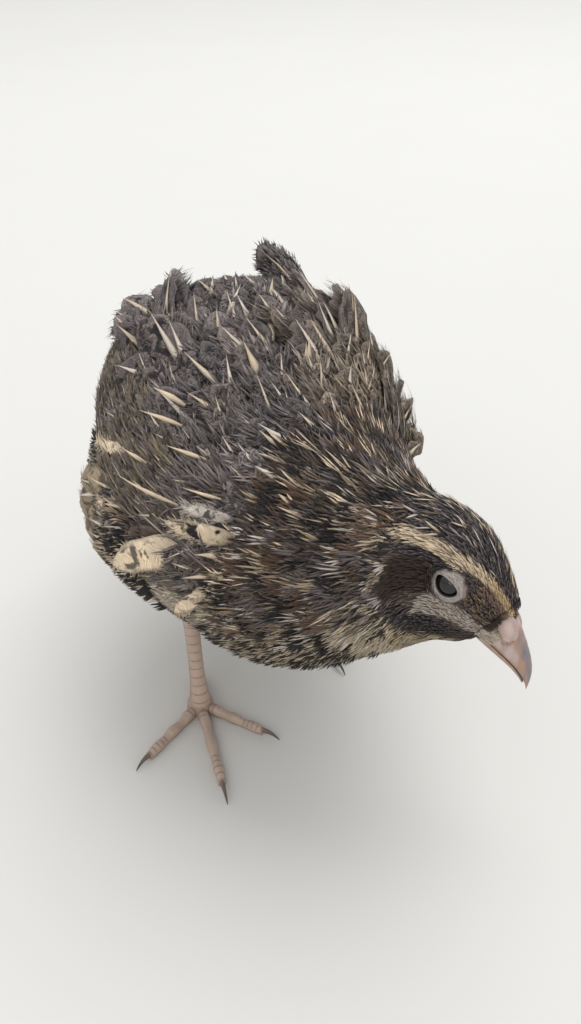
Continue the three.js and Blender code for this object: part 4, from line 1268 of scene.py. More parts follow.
flank("flank_left", 1, 86)
flank("flank_right", -1, 80)
for side_name, hand in HANDS:
    area, lift, keep = ((1.2, 3.7), sorted((hand * 84, hand * 124))), (0.6, 3.0), under_wing(84)
    strokes("flank_ink_" + side_name, *area, 3.2, 4, 5.0, 1.9, lift, [INK, INK * 1.5], keep, 0.3)
    strokes("flank_cream_" + side_name, *area, 4.2, 4, 6.0, 1.5, lift, cream_tones, keep, 0.3, 8.0)

# %% [markdown]
# ## The coat of the head
# On the face a feather is a scale of one or two millimetres, and smaller towards the bill and the eye. Each is one
# fine lock, laid back from the bill. The brow, crown and ear are made by colour alone, and each lock is a little
# lighter or darker than its neighbour, which gives the head its fine streaks.

# %% Head locks
head_gap = narrowing(0.66, 0.22, 6.6, 7.8)


def off_ring(s, f):
    """True except inside the bare rings of the eyes."""
    off_axis, _ = eye_distance(surface(s, f))
    return ~((off_axis < LID_RADIUS + 0.1) & (np.abs(f) > 40))


head_s, head_f = rooted((6.2, 7.985), (-180, 180), head_gap, lambda s, f: head_gap(s, f) * 0.82, 0.8, off_ring)
head_points = surface(head_s, head_f)
head_parts, head_ground = markings(head_s, head_f)
head_clump = mottle(head_points, 2.6, 21)
print("head locks", len(head_s))


def head_colours(owner, c):
    """Each lock takes the marking's colour, then its own chance: pale needles on the crown, a pale line along its
    middle, dark strokes on the throat, scaly pale edges below the eye."""
    total = len(owner)
    part = {key: value[owner] for key, value in head_parts.items()}
    clump = head_clump[owner]
    luck = chance.random(total)
    grizzled = part["crown"] * (1 - part["brow"])
    colour = layered(
        head_ground[owner],
        (MAUVE * 0.8, grizzled * smooth(clump, 0.1, 0.9) * 0.85),
        (RUFOUS * 0.6, grizzled * smooth(-clump, 0.5, 1.0) * 0.5),
        (BUFF * 0.95, (luck < 0.035) & (grizzled > 0.5)),
        (CREAM * 0.8, (part["median"] > 0.4) & (luck < 0.6)),
        (INK * 1.8, (part["throat"] > 0.5) & (clump + 0.6 * luck > 0.45)),
        (BUFF * 0.9, (part["brow"] > 0.3) & (luck < 0.12)),
        (blend(BUFF, PALE, chance.random(total)) * 0.95, (part["cheek"] > 0.5) & (clump > 0.35 - 0.8 * luck)),
        (blend(RUFOUS * 1.3, YELLOW * 0.45, chance.random(total)), (part["lores"] > 0.3) & (luck < 0.3)),
    )
    colour = colour * about(total, 0.2)[:, None]
    tips = blend(colour, ASH * 1.5, 0.35 * (1 - part["brow"]) * (1 - part["ear"]))
    return colour, tips, np.full(total, 0.75)


def head_coat():
    """One lock for each place, shorter beside the eye and at the bill."""
    off_axis, _ = eye_distance(head_points)
    beside = (1 - smooth(off_axis, 3.4, 5.6)) * (np.abs(head_f) > 40)
    length = (2.7 - 1.1 * smooth(head_s, 6.6, 7.8)) * (1 - 0.4 * beside)
    width = 0.36 + 0.1 * (1 - smooth(head_s, 6.5, 7.6))
    lift = -0.3, 0.34 - 0.16 * smooth(head_s, 6.8, 7.9) + 0.1 * beside
    turn = 8.0 + 8.0 * (1 - head_parts["brow"])
    places = head_s, head_f
    bundles("head_locks", places, 1, length, width / 1.75, lift, head_colours, turn, fan=0.0, thick=0.08, bow=0.14)


head_coat()
on_crown = lambda s, f: np.abs(f) < np.interp(s, *BROW) - 9
strokes("crown_needles", (6.5, 7.85), (-40, 40), 3.0, 1, 3.4, 0.17, (0.0, 0.7), [PALE, CREAM, ASH * 1.6], on_crown)
strokes("nape_cream", (5.5, 6.9), (-44, 44), 4.6, 2, 4.6, 0.5, (0.0, 1.0), cream_tones, on_crown)
behind_ear = lambda s, f: np.abs(np.abs(f) - 94) < 22
rim_tones = [BUFF * 0.95, MAUVE * 1.3, PALE * 0.7, UMBER]
strokes("ear_rim", (5.95, 6.25), (-112, 112), 1.5, 5, 2.8, 1.4, (0.0, 0.85), rim_tones, behind_ear)

# %% [markdown]
# ## Folded wings
# A folded wing is covered with feathers in tiers like roof tiles: the long primaries lowest and farthest back, the
# secondaries over them, then the great, middle and lesser coverts. In each tier the upper feather lies on the one
# below it. Every feather has its own path over the body, from a root to a tip, both given as a station and an angle.

# %% Paths over the body
def paths(root, tip):
    """Midlines from roots to tips, each an array of stations and one of angles: points of the surface at the marks'
    shares of the way, their outward directions, and the headings along them."""
    station = root[0][:, None] + (tip[0] - root[0])[:, None] * VANE_MARKS
    angle = root[1][:, None] + (tip[1] - root[1])[:, None] * VANE_MARKS
    at = surface(station, angle)
    out = outward(at)
    return at, out, level(np.gradient(at, axis=1), out), VANE_MARKS


# Each tier: roots' and tips' stations, their angles, how many, how wide, and heights of root and tip.
WING_TIERS = {
    "primaries": ((2.0, 0.35), (64, 92), (57, 77), 9, 6.0, (0.0, 1.2)),
    "secondaries": ((2.6, 1.05), (54, 96), (53, 87), 10, 7.0, (0.0, 1.9)),
    "great_coverts": ((3.2, 1.95), (54, 98), (53, 91), 9, 7.4, (0.0, 2.3)),
    "middle_coverts": ((3.7, 2.65), (54, 97), (53, 93), 8, 7.0, (0.0, 2.3)),
    "lesser_coverts": ((4.1, 3.25), (57, 95), (56, 93), 8, 6.0, (-0.2, 2.0)),
}


def wing(name, hand):
    """All tiers of a wing as one mesh of vanes, with their barbs and narrow shaft streaks."""
    tiers, lowest = [], 1.0 if hand > 0 else 0.9
    for tier, (ends, roots, tips, count, width, lift) in WING_TIERS.items():
        share = (np.arange(count) + 0.3 * (chance.random(count) - 0.5)) / (count - 1)
        root_f, tip_f = (hand * (low + (lowest * high - low) * share) for low, high in (roots, tips))
        root_s = ends[0] + 0.06 * (chance.random(count) - 0.5)
        tip_s = ends[1] + 0.12 * (chance.random(count) - 0.5)
        midline = paths((root_s, root_f), (tip_s, tip_f))
        size = sizes(count, width * about(count, 0.06), lift, bend=0.6, tilt=-0.14 * hand)
        flight = tier in ("primaries", "secondaries")
        ground = (UMBER * 1.6 if flight else blend(CHARCOAL, MAUVE, 0.6)) * about(count, 0.3)[:, None]
        fringe = np.tile(BUFF * (0.8 if flight else 0.6), (count, 1)) * about(count, 0.15)[:, None]
        looks = looks_of(ground, fringe, (0.5, 0.55, 0.7 * chance.random(count)), lengths(midline), size["width"])
        tiers.append((midline, size, looks, unwrap(root_s, root_f)))
    batch, slot = together(tiers), "flight_feathers"
    count = len(batch[3])
    leaves(name, batch, 0.06)
    frayed(name + "_barbs", batch, 150, 2.8, inner=0.7, coarse=1.3)
    streaked(name + "_shafts", batch, np.full(count, 0.55), streak_colours(count) * 0.7)


for side_name, hand in HANDS:
    wing("wing_" + side_name, hand)

# %% [markdown]
# ## Tail
# A quail's tail is short and soft: ten feathers in a shallow fan that bows down, hidden from above by long coverts.
# The feathers run straight back from the body, so their midlines are worked out in the axes of the tail's root.

# %% Tail feathers
TAIL_LENGTH, TAIL_DROOP, TAIL_FAN = 36.0, 12.0, 24.0
tail_at = spine(0.0)
tail_along = unit(spine(0.001) - spine(-0.001))
tail_side = unit(np.cross(UP, tail_along))
tail_top = np.cross(tail_along, tail_side)


def tail_lines(yaw, length, lift):
    """Straight lines back at a yaw, bowed down by tan(droop) r (0.55 + 0.45 a), r being the length so far."""
    a = VANE_MARKS
    turn = np.radians(yaw)[:, None]
    out = 3 + length[:, None] * a
    sag = np.tan(np.radians(TAIL_DROOP)) * out * (0.55 + 0.45 * a)
    back, across = out * np.cos(turn), out * np.sin(turn)
    up = lift[:, None] - sag - 0.11 * np.abs(yaw)[:, None]
    at = moved(tail_at, (-tail_along, back), (tail_side, across), (tail_top, up))
    way = unit(np.gradient(at, axis=1))
    aside = tail_along * np.sin(turn)[..., None] + tail_side * np.cos(turn)[..., None]
    return at, unit(np.cross(aside, way)), way, a


def tail():
    """Ten tail feathers, and three rows of coverts over them."""
    pair = np.repeat(np.arange(5), 2)
    hand = np.tile([-1.0, 1.0], 5)
    rows = [(6, 17, 24.0, 4.2), (5, 15, 18.0, 5.4), (6, 17, 13.0, 6.4)]
    across = [np.linspace(-1, 1, number) for number, _, _, _ in rows]
    yaw = np.concatenate([hand * (2.5 + (TAIL_FAN - 2.5) * pair / 4)] + [c * row[1] for c, row in zip(across, rows)])
    length = np.concatenate([TAIL_LENGTH - 3 - 1.6 * pair] + [row[2] - 2 * np.abs(c) for c, row in zip(across, rows)])
    lift = np.concatenate([1.6 - 0.9 * pair] + [row[3] - 1.2 * np.abs(c) for c, row in zip(across, rows)])
    count = len(yaw)
    wide = np.where(np.arange(count) < 10, 6.8, 7.6)
    midline = tail_lines(yaw, length, lift)
    size = sizes(count, wide, (0, 0), tilt=-0.1 * np.sign(yaw), droop=0.1)
    covert = np.arange(count) >= 10
    ground = np.where(covert[:, None], CHARCOAL * 1.5, UMBER * 1.6) * about(count, 0.2)[:, None]
    looks = looks_of(ground, BUFF * 0.7, (0.6, 0.6, 0.4 * covert), length, wide)
    batch = midline, size, looks, unwrap(np.linspace(-0.6, 0.3, count), yaw * 2)
    leaves("tail", batch, 0.08)
    frayed("tail_barbs", batch, 56, 2.0)
    widths = 0.7 + 0.5 * chance.random(covert.sum())
    streaked("tail_streaks", some(batch, covert), widths, streak_colours(covert.sum()))


tail()

# %% [markdown]
# ## The raised feather
# One broad feather of the lower back stands up, leans to the bird's right and curls its tip over. It is a leaf like
# the others, on a path of its own.

# %% Raised feather
def raised_feather():
    """A path from station 1.8 in the plane across the camera's view: 8.3 a + 3.0 a^2 to the bird's right, and
    19.5 a - 7.4 a^2 up. Its face is turned forward, so the photo shows it broad, and its tip curls forward."""
    a = VANE_MARKS
    forward = unit(np.array([0.797, -0.290, 0.530]))
    right = np.array([-0.342, -0.940, 0.0])
    rise = np.cross(right, forward)
    root = surface(np.array([1.8]), np.array([39.0]), -1.5)
    curl = 2.2 * smooth(a, 0.7, 1.0) ** 2
    sway = curl - 2.0 * np.sin(np.pi * a)
    line = moved(root, (right, 8.3 * a + 3.0 * a ** 2), (rise, 19.5 * a - 7.4 * a ** 2), (forward, sway))
    way = unit(np.gradient(line, axis=0))
    midline = line[None], level(np.broadcast_to(forward, way.shape), way)[None], way[None], a
    looks = looks_of(MAUVE[None] * 0.7, ASH * 1.3, (0.8, 0.5, 0.5), lengths(midline), 9.6)
    batch = midline, sizes(1, 9.6, (0, 0), droop=0.22), looks, unwrap(np.array([1.6]), np.array([35.0]))
    leaves("raised_feather", batch, 0.3, columns=10)
    frayed("raised_barbs", batch, 420, 1.5, inner=0.6)
    streaked("raised_shaft", batch, np.array([0.7]), CREAM[None])


raised_feather()

# %% [markdown]
# ## Feathers of the right shoulder
# At the bend of the right wing the coat has come apart. Long grey-brown strands hang loose there, and between them
# lie a few feathers that one notices at once: a round cream one with black spots, a barred one, and white needles.
# Each of these is set one by one, from its root to its tip.

# %% Right shoulder
SHOULDER_FEATHERS = [
    # station and angle of root and tip, width, heights of root and tip, ground, blotches
    ((4.12, -77), (3.4, -106), 7.6, (0.8, 4.6), CREAM, 0.85),
    ((4.48, -67), (3.86, -75), 4.2, (0.8, 3.0), CREAM * 0.85, 1.0),
    ((4.4, -60), (3.92, -66), 2.6, (0.8, 2.8), PALE * 0.8, 0.9),
    ((3.14, -66), (2.55, -81), 3.4, (1.5, 3.4), CREAM, 0.3),
    ((4.33, -90), (3.98, -112), 3.4, (0.2, 2.6), CREAM * 0.9, 0.4),
    ((3.3, -97), (2.92, -101), 2.8, (0.8, 3.0), CREAM, 0.3),
    ((3.25, -89), (2.98, -92), 2.6, (0.8, 3.2), CREAM, 0.3),
    ((3.9, -84), (3.5, -90), 6.0, (0.6, 3.0), UMBER * 1.5, 1.0),
]
SHOULDER_NEEDLES = [
    # station and angle of root and tip, width, heights of root and tip
    ((3.9, -66), (3.2, -74), 0.9, (2.0, 4.0)),
    ((3.4, -63), (3.1, -66), 0.9, (2.0, 3.6)),
    ((3.83, -46), (3.48, -53), 0.9, (1.6, 3.6)),
    ((4.2, -55), (3.85, -60), 0.7, (1.4, 3.2)),
    ((3.26, -39), (2.9, -45), 1.3, (2.0, 4.2)),
    ((3.42, -44), (3.02, -53), 1.0, (2.0, 4.2)),
]


def by_hand(rows, **others):
    """Midlines, sizes and spots of feathers from a table of roots and tips. Each is the parabola through the
    surface's points at root, middle and tip, so a fold of the surface can't crumple it."""
    root, tip, width, lift = (np.array(column, float) for column in list(zip(*rows))[:4])
    at, out, _, a = paths(root.T, tip.T)
    ends = at[:, :1], surface(*((root + tip) / 2).T)[:, None], at[:, -1:]
    a = a[:, None]
    at = ends[0] * (1 - a) * (1 - 2 * a) + ends[1] * 4 * a * (1 - a) + ends[2] * a * (2 * a - 1)
    out = unit(out + 3 * out.mean(axis=1, keepdims=True))
    midline = at, out, level(np.gradient(at, axis=1), out), VANE_MARKS
    return midline, sizes(len(rows), width, lift.T, bend=0.8, **others), unwrap(*root.T)


def shoulder_strands():
    """Loose strands as wide fans of long wavy locks, grey-brown with light grey ones."""
    apart = lambda s, f: (np.abs(s - 3.8) > 0.5) | (f > -72)
    s, f = rooted((3.1, 4.4), (-92, -48), even(3.4), even(3.6), 0.9, apart)

    def colours(owner, c):
        total = len(owner)
        colour = blend(UMBER * 1.4, MAUVE * 1.2, chance.random(total) ** 1.3) * about(total, 0.35)[:, None]
        return colour, blend(colour, ASH * 1.6, 0.6 * chance.random(total)), np.full(total, 0.6)

    lift = 0.2, 1.2 + 1.6 * chance.random(len(s))
    bundles("shoulder_strands", (s, f), 12, 8.5, 3.8, lift, colours, 24.0, fan=26.0, bow=0.3, thick=0.1)


def right_shoulder():
    """The loose strands, the feathers of the table with their barbs, and the needles."""
    shoulder_strands()
    midline, size, spots = by_hand(SHOULDER_FEATHERS, droop=0.2, tilt=0.1, curl=0.5)
    ground, blotched = (np.array(column) for column in list(zip(*SHOULDER_FEATHERS))[4:])
    pattern = (0.4, 0.0, blotched)
    looks = looks_of(ground, blend(ground, PALE, 0.4), pattern, lengths(midline), size["width"])
    leaves("shoulder_feathers", (midline, size, looks, spots), 0.25)
    frayed("shoulder_barbs", (midline, size, looks, spots), 90, 1.8)
    midline, size, spots = by_hand(SHOULDER_NEEDLES)
    cream = np.tile(CREAM * 1.05, (len(spots), 1))
    streaked("shoulder_needles", (midline, size, None, spots), size["width"], cream)


right_shoulder()

# %% [markdown]
# ## Thighs
# Soft buff locks cover the thighs down to the hock, laid along the bone.

# %% Thigh locks
def thigh_locks(side, number):
    """Locks on staggered rings round a thigh, from its top to the hock. Their patches lie in the thigh's own part of
    the unwrap, at the share of the length up it and the share of a turn across it."""
    rings, steps = 15, 26
    ring, step = np.meshgrid(np.arange(rings), np.arange(steps), indexing="ij")
    a = ((ring + 0.6 * chance.random(ring.shape)) / rings).ravel() * 0.95
    turned = ((step + 0.5 * (ring % 2) + 0.5 * chance.random(ring.shape)) / steps).ravel() % 1
    roots, out, down = thigh_round(side, a, 2 * np.pi * turned, 0.8)
    count = len(a)
    length = (5.0 - 1.6 * a) * about(count, 0.25)
    lean = np.radians(14 * (chance.random(count) - 0.5))[:, None]
    heading = unit(down * np.cos(lean) + np.cross(down, out) * np.sin(lean) - out * 0.12)
    size = sizes(count, 0.7 * about(count, 0.3), (0.0, 0.5))
    ground = blend(BUFF * 0.8, PALE * 0.75, chance.random(count)) * about(count, 0.2)[:, None]
    looks = looks_of(ground, PALE * 0.8, (0.8, 0, 0), length, size["width"])
    spots = np.stack([0.5 * number + 0.012 + 0.47 * turned, 0.872 + 0.115 * a], axis=-1)
    locks("thigh_locks_" + side, (straight(roots, heading, length, out), size, looks, spots))


for number, side in enumerate(HEADINGS):
    thigh_locks(side, number)

# %% [markdown]
# ## Feathers round the eyes and over the bill
# Round the bare ring stand the smallest feathers of all. They lean in over the ring's rim. At the bill the face's
# edge is soft: fine feathers reach forward over its base, farthest below the nostril flap.

# %% Small feathers of the face
def face_places(points):
    """Station and angle of the nearest place of the face, looked for on a grid."""
    s, f = np.meshgrid(np.linspace(6.4, 8.0, 90), np.linspace(-150, 150, 240), indexing="ij")
    grid = surface(s, f).reshape(-1, 3)
    nearest = np.argmin(np.linalg.norm(points[:, None] - grid[None], axis=-1), axis=1)
    return s.ravel()[nearest], f.ravel()[nearest]


def eye_fringe(name, hand):
    """Three rings of tiny locks round the bare skin, laid towards the tail and a little inwards."""
    per_ring, out_at = 72, 8.6
    count = 3 * per_ring
    turn = 2 * np.pi * (np.tile(np.arange(per_ring) / per_ring, 3) + chance.random(count) / per_ring)
    radius = np.repeat([3.45, 3.8, 4.2], per_ring) + 0.25 * (chance.random(count) - 0.5)
    roots = in_head(np.stack([radius * np.cos(turn), np.full(count, hand * out_at), radius * np.sin(turn)], axis=-1))
    for _ in range(4):
        roots = roots - outward(roots) * away(roots)[:, None]
    heading = -AHEAD + 0.75 * unit(in_head([0, hand * out_at, 0]) - roots)
    heading = heading + 0.3 * (chance.random((count, 3)) - 0.5)
    midline = comb(roots, unit(heading), 1.15 * about(count, 0.3), LOCK_MARKS)
    s, f = face_places(roots)
    _, ground = markings(s, f)
    ground = ground * np.where(radius < 3.7, 0.55, 0.9)[:, None] * about(count, 0.25)[:, None]
    size = sizes(count, 0.26 * about(count, 0.3), (-0.1, 0.42), thick=0.07)
    looks = looks_of(ground, blend(ground, ASH * 1.3, 0.3), (0.8, 0, 0), 1.15, size["width"])
    locks(name, (midline, size, looks, unwrap(s, f)))


def bristles(name, hand):
    """Short locks all round the face's front edge that point forward over the bill and a little aside, so that the
    edge isn't a line."""
    count = 330
    s, f = 7.9 + 0.09 * chance.random(count), hand * (2 + 118 * chance.random(count))
    out = unit(outward(surface(s - 0.15, f)))
    heading = level(AHEAD + 0.9 * (chance.random((count, 3)) - 0.5), out)
    length = (0.7 + 0.9 * chance.random(count)) * (1 - 0.4 * within(np.abs(f), 50, 14, 8))
    line, *rest = straight(surface(s, f), heading, length, out)
    line = line - 0.35 * length[:, None, None] * out[:, None] * (LOCK_MARKS ** 2)[:, None]
    size = sizes(count, 0.26 * about(count, 0.3), (0.1, 0.1), thick=0.07)
    _, ground = markings(s, f)
    looks = looks_of(ground * about(count, 0.35)[:, None], blend(ground, BUFF, 0.4), (0.8, 0, 0), length, size["width"])
    locks(name, ((line, *rest), size, looks, unwrap(s, f)))


def bill_edge(name, hand):
    """Locks that carry the face's edge over the bill's base. Below the nostril flap they run 3 mm forward as a
    wedge, over the ridge 1.6 mm. A root lies at share cos t of the bill's height, and points out as the oval does
    there."""
    count = 520
    share = chance.random(count)
    reach = 1.6 + 1.5 * within(share, 0.2, 0.08, 0.2) - 1.2 * within(share, 0.62, 0.12, 0.12)
    ahead = -1.0 + (reach + 1.0) * chance.random(count) ** 0.8
    a = np.clip(ahead / BILL_LENGTH, 0, 1)
    mouth, tall = mouth_at(a), ridge_at(a) - mouth_at(a)
    half = (BILL_WIDTH * (1 - a) ** 0.75 + 0.9) / 2
    aside = np.sqrt(1 - share ** 2)
    roots = in_head(np.stack([BILL_BASE + ahead, hand * (half * aside - 0.1), mouth + share ** 0.92 * tall], axis=-1))
    out = unit(np.stack([0 * a, hand * aside / half, share / tall], axis=-1)) @ HEAD.T
    heading = level(-AHEAD + 0.3 * (chance.random((count, 3)) - 0.5), out)
    length = 1.2 * about(count, 0.3)
    size = sizes(count, 0.24 * about(count, 0.3), (0.0, 0.32), thick=0.07)
    low, high = 1 - smooth(share, 0.3, 0.5), smooth(share, 0.75, 0.92)
    ground = blend(blend(RUFOUS, BUFF * 0.7, chance.random(count)), blend(PALE, BUFF, chance.random(count)), low)
    ground = blend(ground, np.where(either(count, 0.35)[:, None], BUFF, CROWN), high)
    looks = looks_of(ground * about(count, 0.25)[:, None], PALE * 0.8, (0.9, 0, 0), length, size["width"])
    spots = unwrap(np.full(count, 7.95), hand * (95 - 80 * share))
    locks(name, (straight(roots, heading, length, out), size, looks, spots))


for side_name, hand in HANDS:
    eye_fringe("eye_fringe_" + side_name, hand)

# %% [markdown]
# ## Eyes and lids
# Each eyeball is a dark ball deep in the head. Only an almond of it shows, inside a ring of bare wrinkled skin. Ball
# and ring are turned round the eye's own axis, which is the head's left-right axis.

# %% Eyes
def closed_loft(name, rings, place, material):
    """A mesh from rings of points, closed at both ends by the rings' middles. place holds a tone for each point, or
    a vector."""
    place = place if place.ndim == 3 else np.stack([place, 0 * place, 0 * place], axis=-1)
    values = {"place": with_poles(place[:, ::-1])}
    mesh_piece(name, with_poles(rings[:, ::-1]), tube_faces(*rings.shape[:2]), values, {}, material)


def eye_material():
    """A nearly black pupil in a dark hazel iris that is finely rayed, under a clear wet coat."""
    material, tree = new_material("eyeball")
    place = split(tree, attribute(tree, "place"))
    rays = noise(tree, vector(tree, times(tree, place[1], 7.0), place[0]), 1.5, 3.0)
    iris = mixed(tree, rays, (0.004, 0.003, 0.002, 1), (0.014, 0.008, 0.005, 1))
    colour = mixed(tree, ramp(tree, place[0], 1.5, 1.75), (0.002, 0.002, 0.002, 1), iris)
    shaded(tree, {"Base Color": colour, "Roughness": 0.05, "IOR": 1.38, "Coat Weight": 0.6, "Coat Roughness": 0.02})
    return material


def eyeball(name, hand):
    """Half circles of the ball's radius, with the cornea's low bulge, turned round the eye's axis. place holds the
    distance off the axis and the turn, for the iris."""
    up, turn = round_grid(np.radians(np.linspace(-86, 89, 40)), 48)
    radius = EYE_RADIUS + 0.22 * smooth(np.degrees(up), 50, 75)
    aside = radius * np.cos(up)
    rings = in_head(np.stack([
        aside * np.cos(turn), hand * (EYE_OUT + radius * np.sin(up)), aside * np.sin(turn)
    ], axis=-1))
    place = np.stack([aside, turn, 0 * turn], axis=-1)
    closed_loft(name, rings[:, ::hand], place[:, ::hand], EYEBALL)


# %% Bare skin and lids
def bare_material(name, tones, rough, grain, pore_depth):
    """Bare skin or horn: four colours at the tones 0, 1, 2 and 3 of place.x, with cloudy grain and fine pores."""
    material, tree = new_material(name)
    tone, spot = split(tree, attribute(tree, "place"))[0], object_place(tree)
    cloud = noise(tree, spot, grain, 4.0)
    pores = join(tree, "TexVoronoi", {"Vector": spot, "Scale": 2600.0})["Distance"]
    share = calc(tree, "ADD", tone, times(tree, calc(tree, "SUBTRACT", cloud, 0.5), 0.8))
    colour = (*tones[0], 1)
    for step, shown in enumerate(tones[1:]):
        colour = mixed(tree, ramp(tree, share, step, step + 1), colour, (*shown, 1))
    uneven = calc(tree, "ADD", pores, times(tree, cloud, 1.5))
    shaded(tree, {
        "Base Color": colour, "Roughness": rough, "Normal": bump(tree, uneven, pore_depth, 0.6),
        "Subsurface Weight": 0.08, "Subsurface Radius": (0.0012, 0.0006, 0.0004),
    })
    return material


EYEBALL = eye_material()
RING_TONES = [(0.46, 0.415, 0.385), (0.25, 0.21, 0.19), (0.12, 0.09, 0.08), (0.02, 0.016, 0.015)]
LID = bare_material("eye ring", RING_TONES, 0.65, 1500.0, 0.00035)


def lid_opening(turn):
    """Radius of the opening at a turn round the eye's axis, from ahead over up: a flat upper lid, a round lower one
    and a drawn-out corner behind. Each quarter is a curve (cos/long)^p + (sin/high)^p = 1/r^p."""
    up = np.sin(turn) > 0
    long = np.where(np.cos(turn) > 0, 2.1, 2.6)
    high, power = np.where(up, 1.15, 1.8), np.where(up, 2.3, 1.75)
    share = (np.abs(np.cos(turn)) / long) ** power + (np.abs(np.sin(turn)) / high) ** power
    return share ** (-1 / power)


def eyelid(name, hand):
    """A ring on the ball from the opening outward, with a rolled lip and creases that run round the eye."""
    steps, across = 120, 24
    turn = np.linspace(0, 2 * np.pi, steps, endpoint=False)[:, None]
    b = np.linspace(0, 1, across)[None, :]
    edge = lid_opening(turn)
    outer = LID_RADIUS + 0.3 - 0.35 * np.maximum(np.sin(turn), 0) + 0.14 * np.sin(5 * turn) + 0.1 * np.sin(11 * turn)
    radius = edge + (outer - edge) * b
    uneven = 0.5 + 0.5 * np.sin(3 * turn + 1.0) * np.sin(7 * turn)
    wave = 2.4 * b + 0.12 * np.sin(5 * turn) + 0.05 * np.sin(13 * turn + 4 * b)
    crease = 0.06 * np.minimum(np.sin(2 * np.pi * wave), 0.35) * uneven
    grain = 0.085 * np.sin(31 * turn + 9 * b) * np.sin(2 * np.pi * 4.3 * b + 3 * np.sin(9 * turn))
    lip = (1 - smooth(b, 0, 0.2)) ** 2
    dome = np.sqrt(np.maximum(1 - ((b - 0.4) / 0.62) ** 2, 0))
    over = 0.42 * dome + 0.1 + (crease + grain) * smooth(b, 0.1, 0.3) - 0.2 * lip
    under = np.broadcast_to([0.02, -0.28, -0.58], (steps, 3))
    over = np.concatenate([over, under], axis=1)
    radius = np.concatenate([radius, edge + (outer - edge) * np.array([[1.0, 0.5, 0.0]])], axis=1)
    ball = EYE_RADIUS + 0.3
    out = hand * (EYE_OUT + np.sqrt(np.maximum((ball + over) ** 2 - radius ** 2, 0.5)))
    points = in_head(np.stack([radius * np.cos(turn), out, radius * np.sin(turn)], axis=-1))
    grid = np.arange(points[..., 0].size).reshape(points.shape[:2])
    on, next_b = np.roll(grid, -1, axis=0), np.roll(grid, -1, axis=1)
    both = np.roll(on, -1, axis=1)
    quads = np.stack([grid, on, both, next_b], axis=-1).reshape(-1, 4)[:, ::hand]
    # painted shade: the lid is darker by the depth of its creases and of the grain's hollows; the lip at the opening
    # and the outer edge are darker too
    dark = 0.35 + 12.0 * np.maximum(-crease, 0) * smooth(b, 0.1, 0.3) + 2.6 * lip + 1.9 * smooth(b, 0.74, 1.0)
    dark = dark + 11.0 * np.maximum(-grain, 0)
    dark = np.concatenate([dark, np.full((steps, 3), 2.5)], axis=1).ravel()
    place = np.stack([dark, 0 * dark, 0 * dark], axis=-1)
    mesh_piece(name, points, [quads], {"place": place}, {}, LID)


for side_name, hand in HANDS:
    eyeball("eye_" + side_name, hand)
    eyelid("eyelid_" + side_name, hand)

# %% [markdown]
# ## Bill
# The bill is short, deep and hooked. Its ridge, mouth line and underside are three curves along its length, and each
# cross-section spans them. A soft flap, the operculum, bulges over each nostril.

# %% Bill
BILL_LENGTH, LOWER_BILL_LENGTH, BILL_WIDTH, GAP = 13.0, 11.4, 6.6, 0.35
HORN_TONES = [(0.44, 0.355, 0.335), (0.36, 0.225, 0.16), (0.21, 0.18, 0.185), (0.04, 0.032, 0.032)]
FLAP_TONES = [(0.55, 0.42, 0.38), (0.40, 0.29, 0.26), (0.16, 0.10, 0.085), (0.03, 0.02, 0.018)]
HORN = bare_material("bill horn", HORN_TONES, 0.36, 420.0, 0.00006)
FLAP = bare_material("nostril flap", FLAP_TONES, 0.5, 420.0, 0.00008)


def ridge_at(a):
    """Height of the ridge at share a: a straight slope, and a hook at the very end."""
    return 3.2 - 7.1 * a - 3.2 * a ** 8


def mouth_at(a):
    """Height of the mouth line: level, then bent down with the hook."""
    return -4.6 - 0.2 * a - 2.4 * a ** 5


def underside_at(a):
    """Height of the lower bill's underside."""
    return mouth_at(a) - 1.7 * np.maximum(1 - 1.08 * a, 0) ** 0.7 - 0.45


FLAP_AT, FLAP_SIZE = (BILL_BASE + 1.3, 1.95, -0.35), (3.2, 1.5, 2.35)


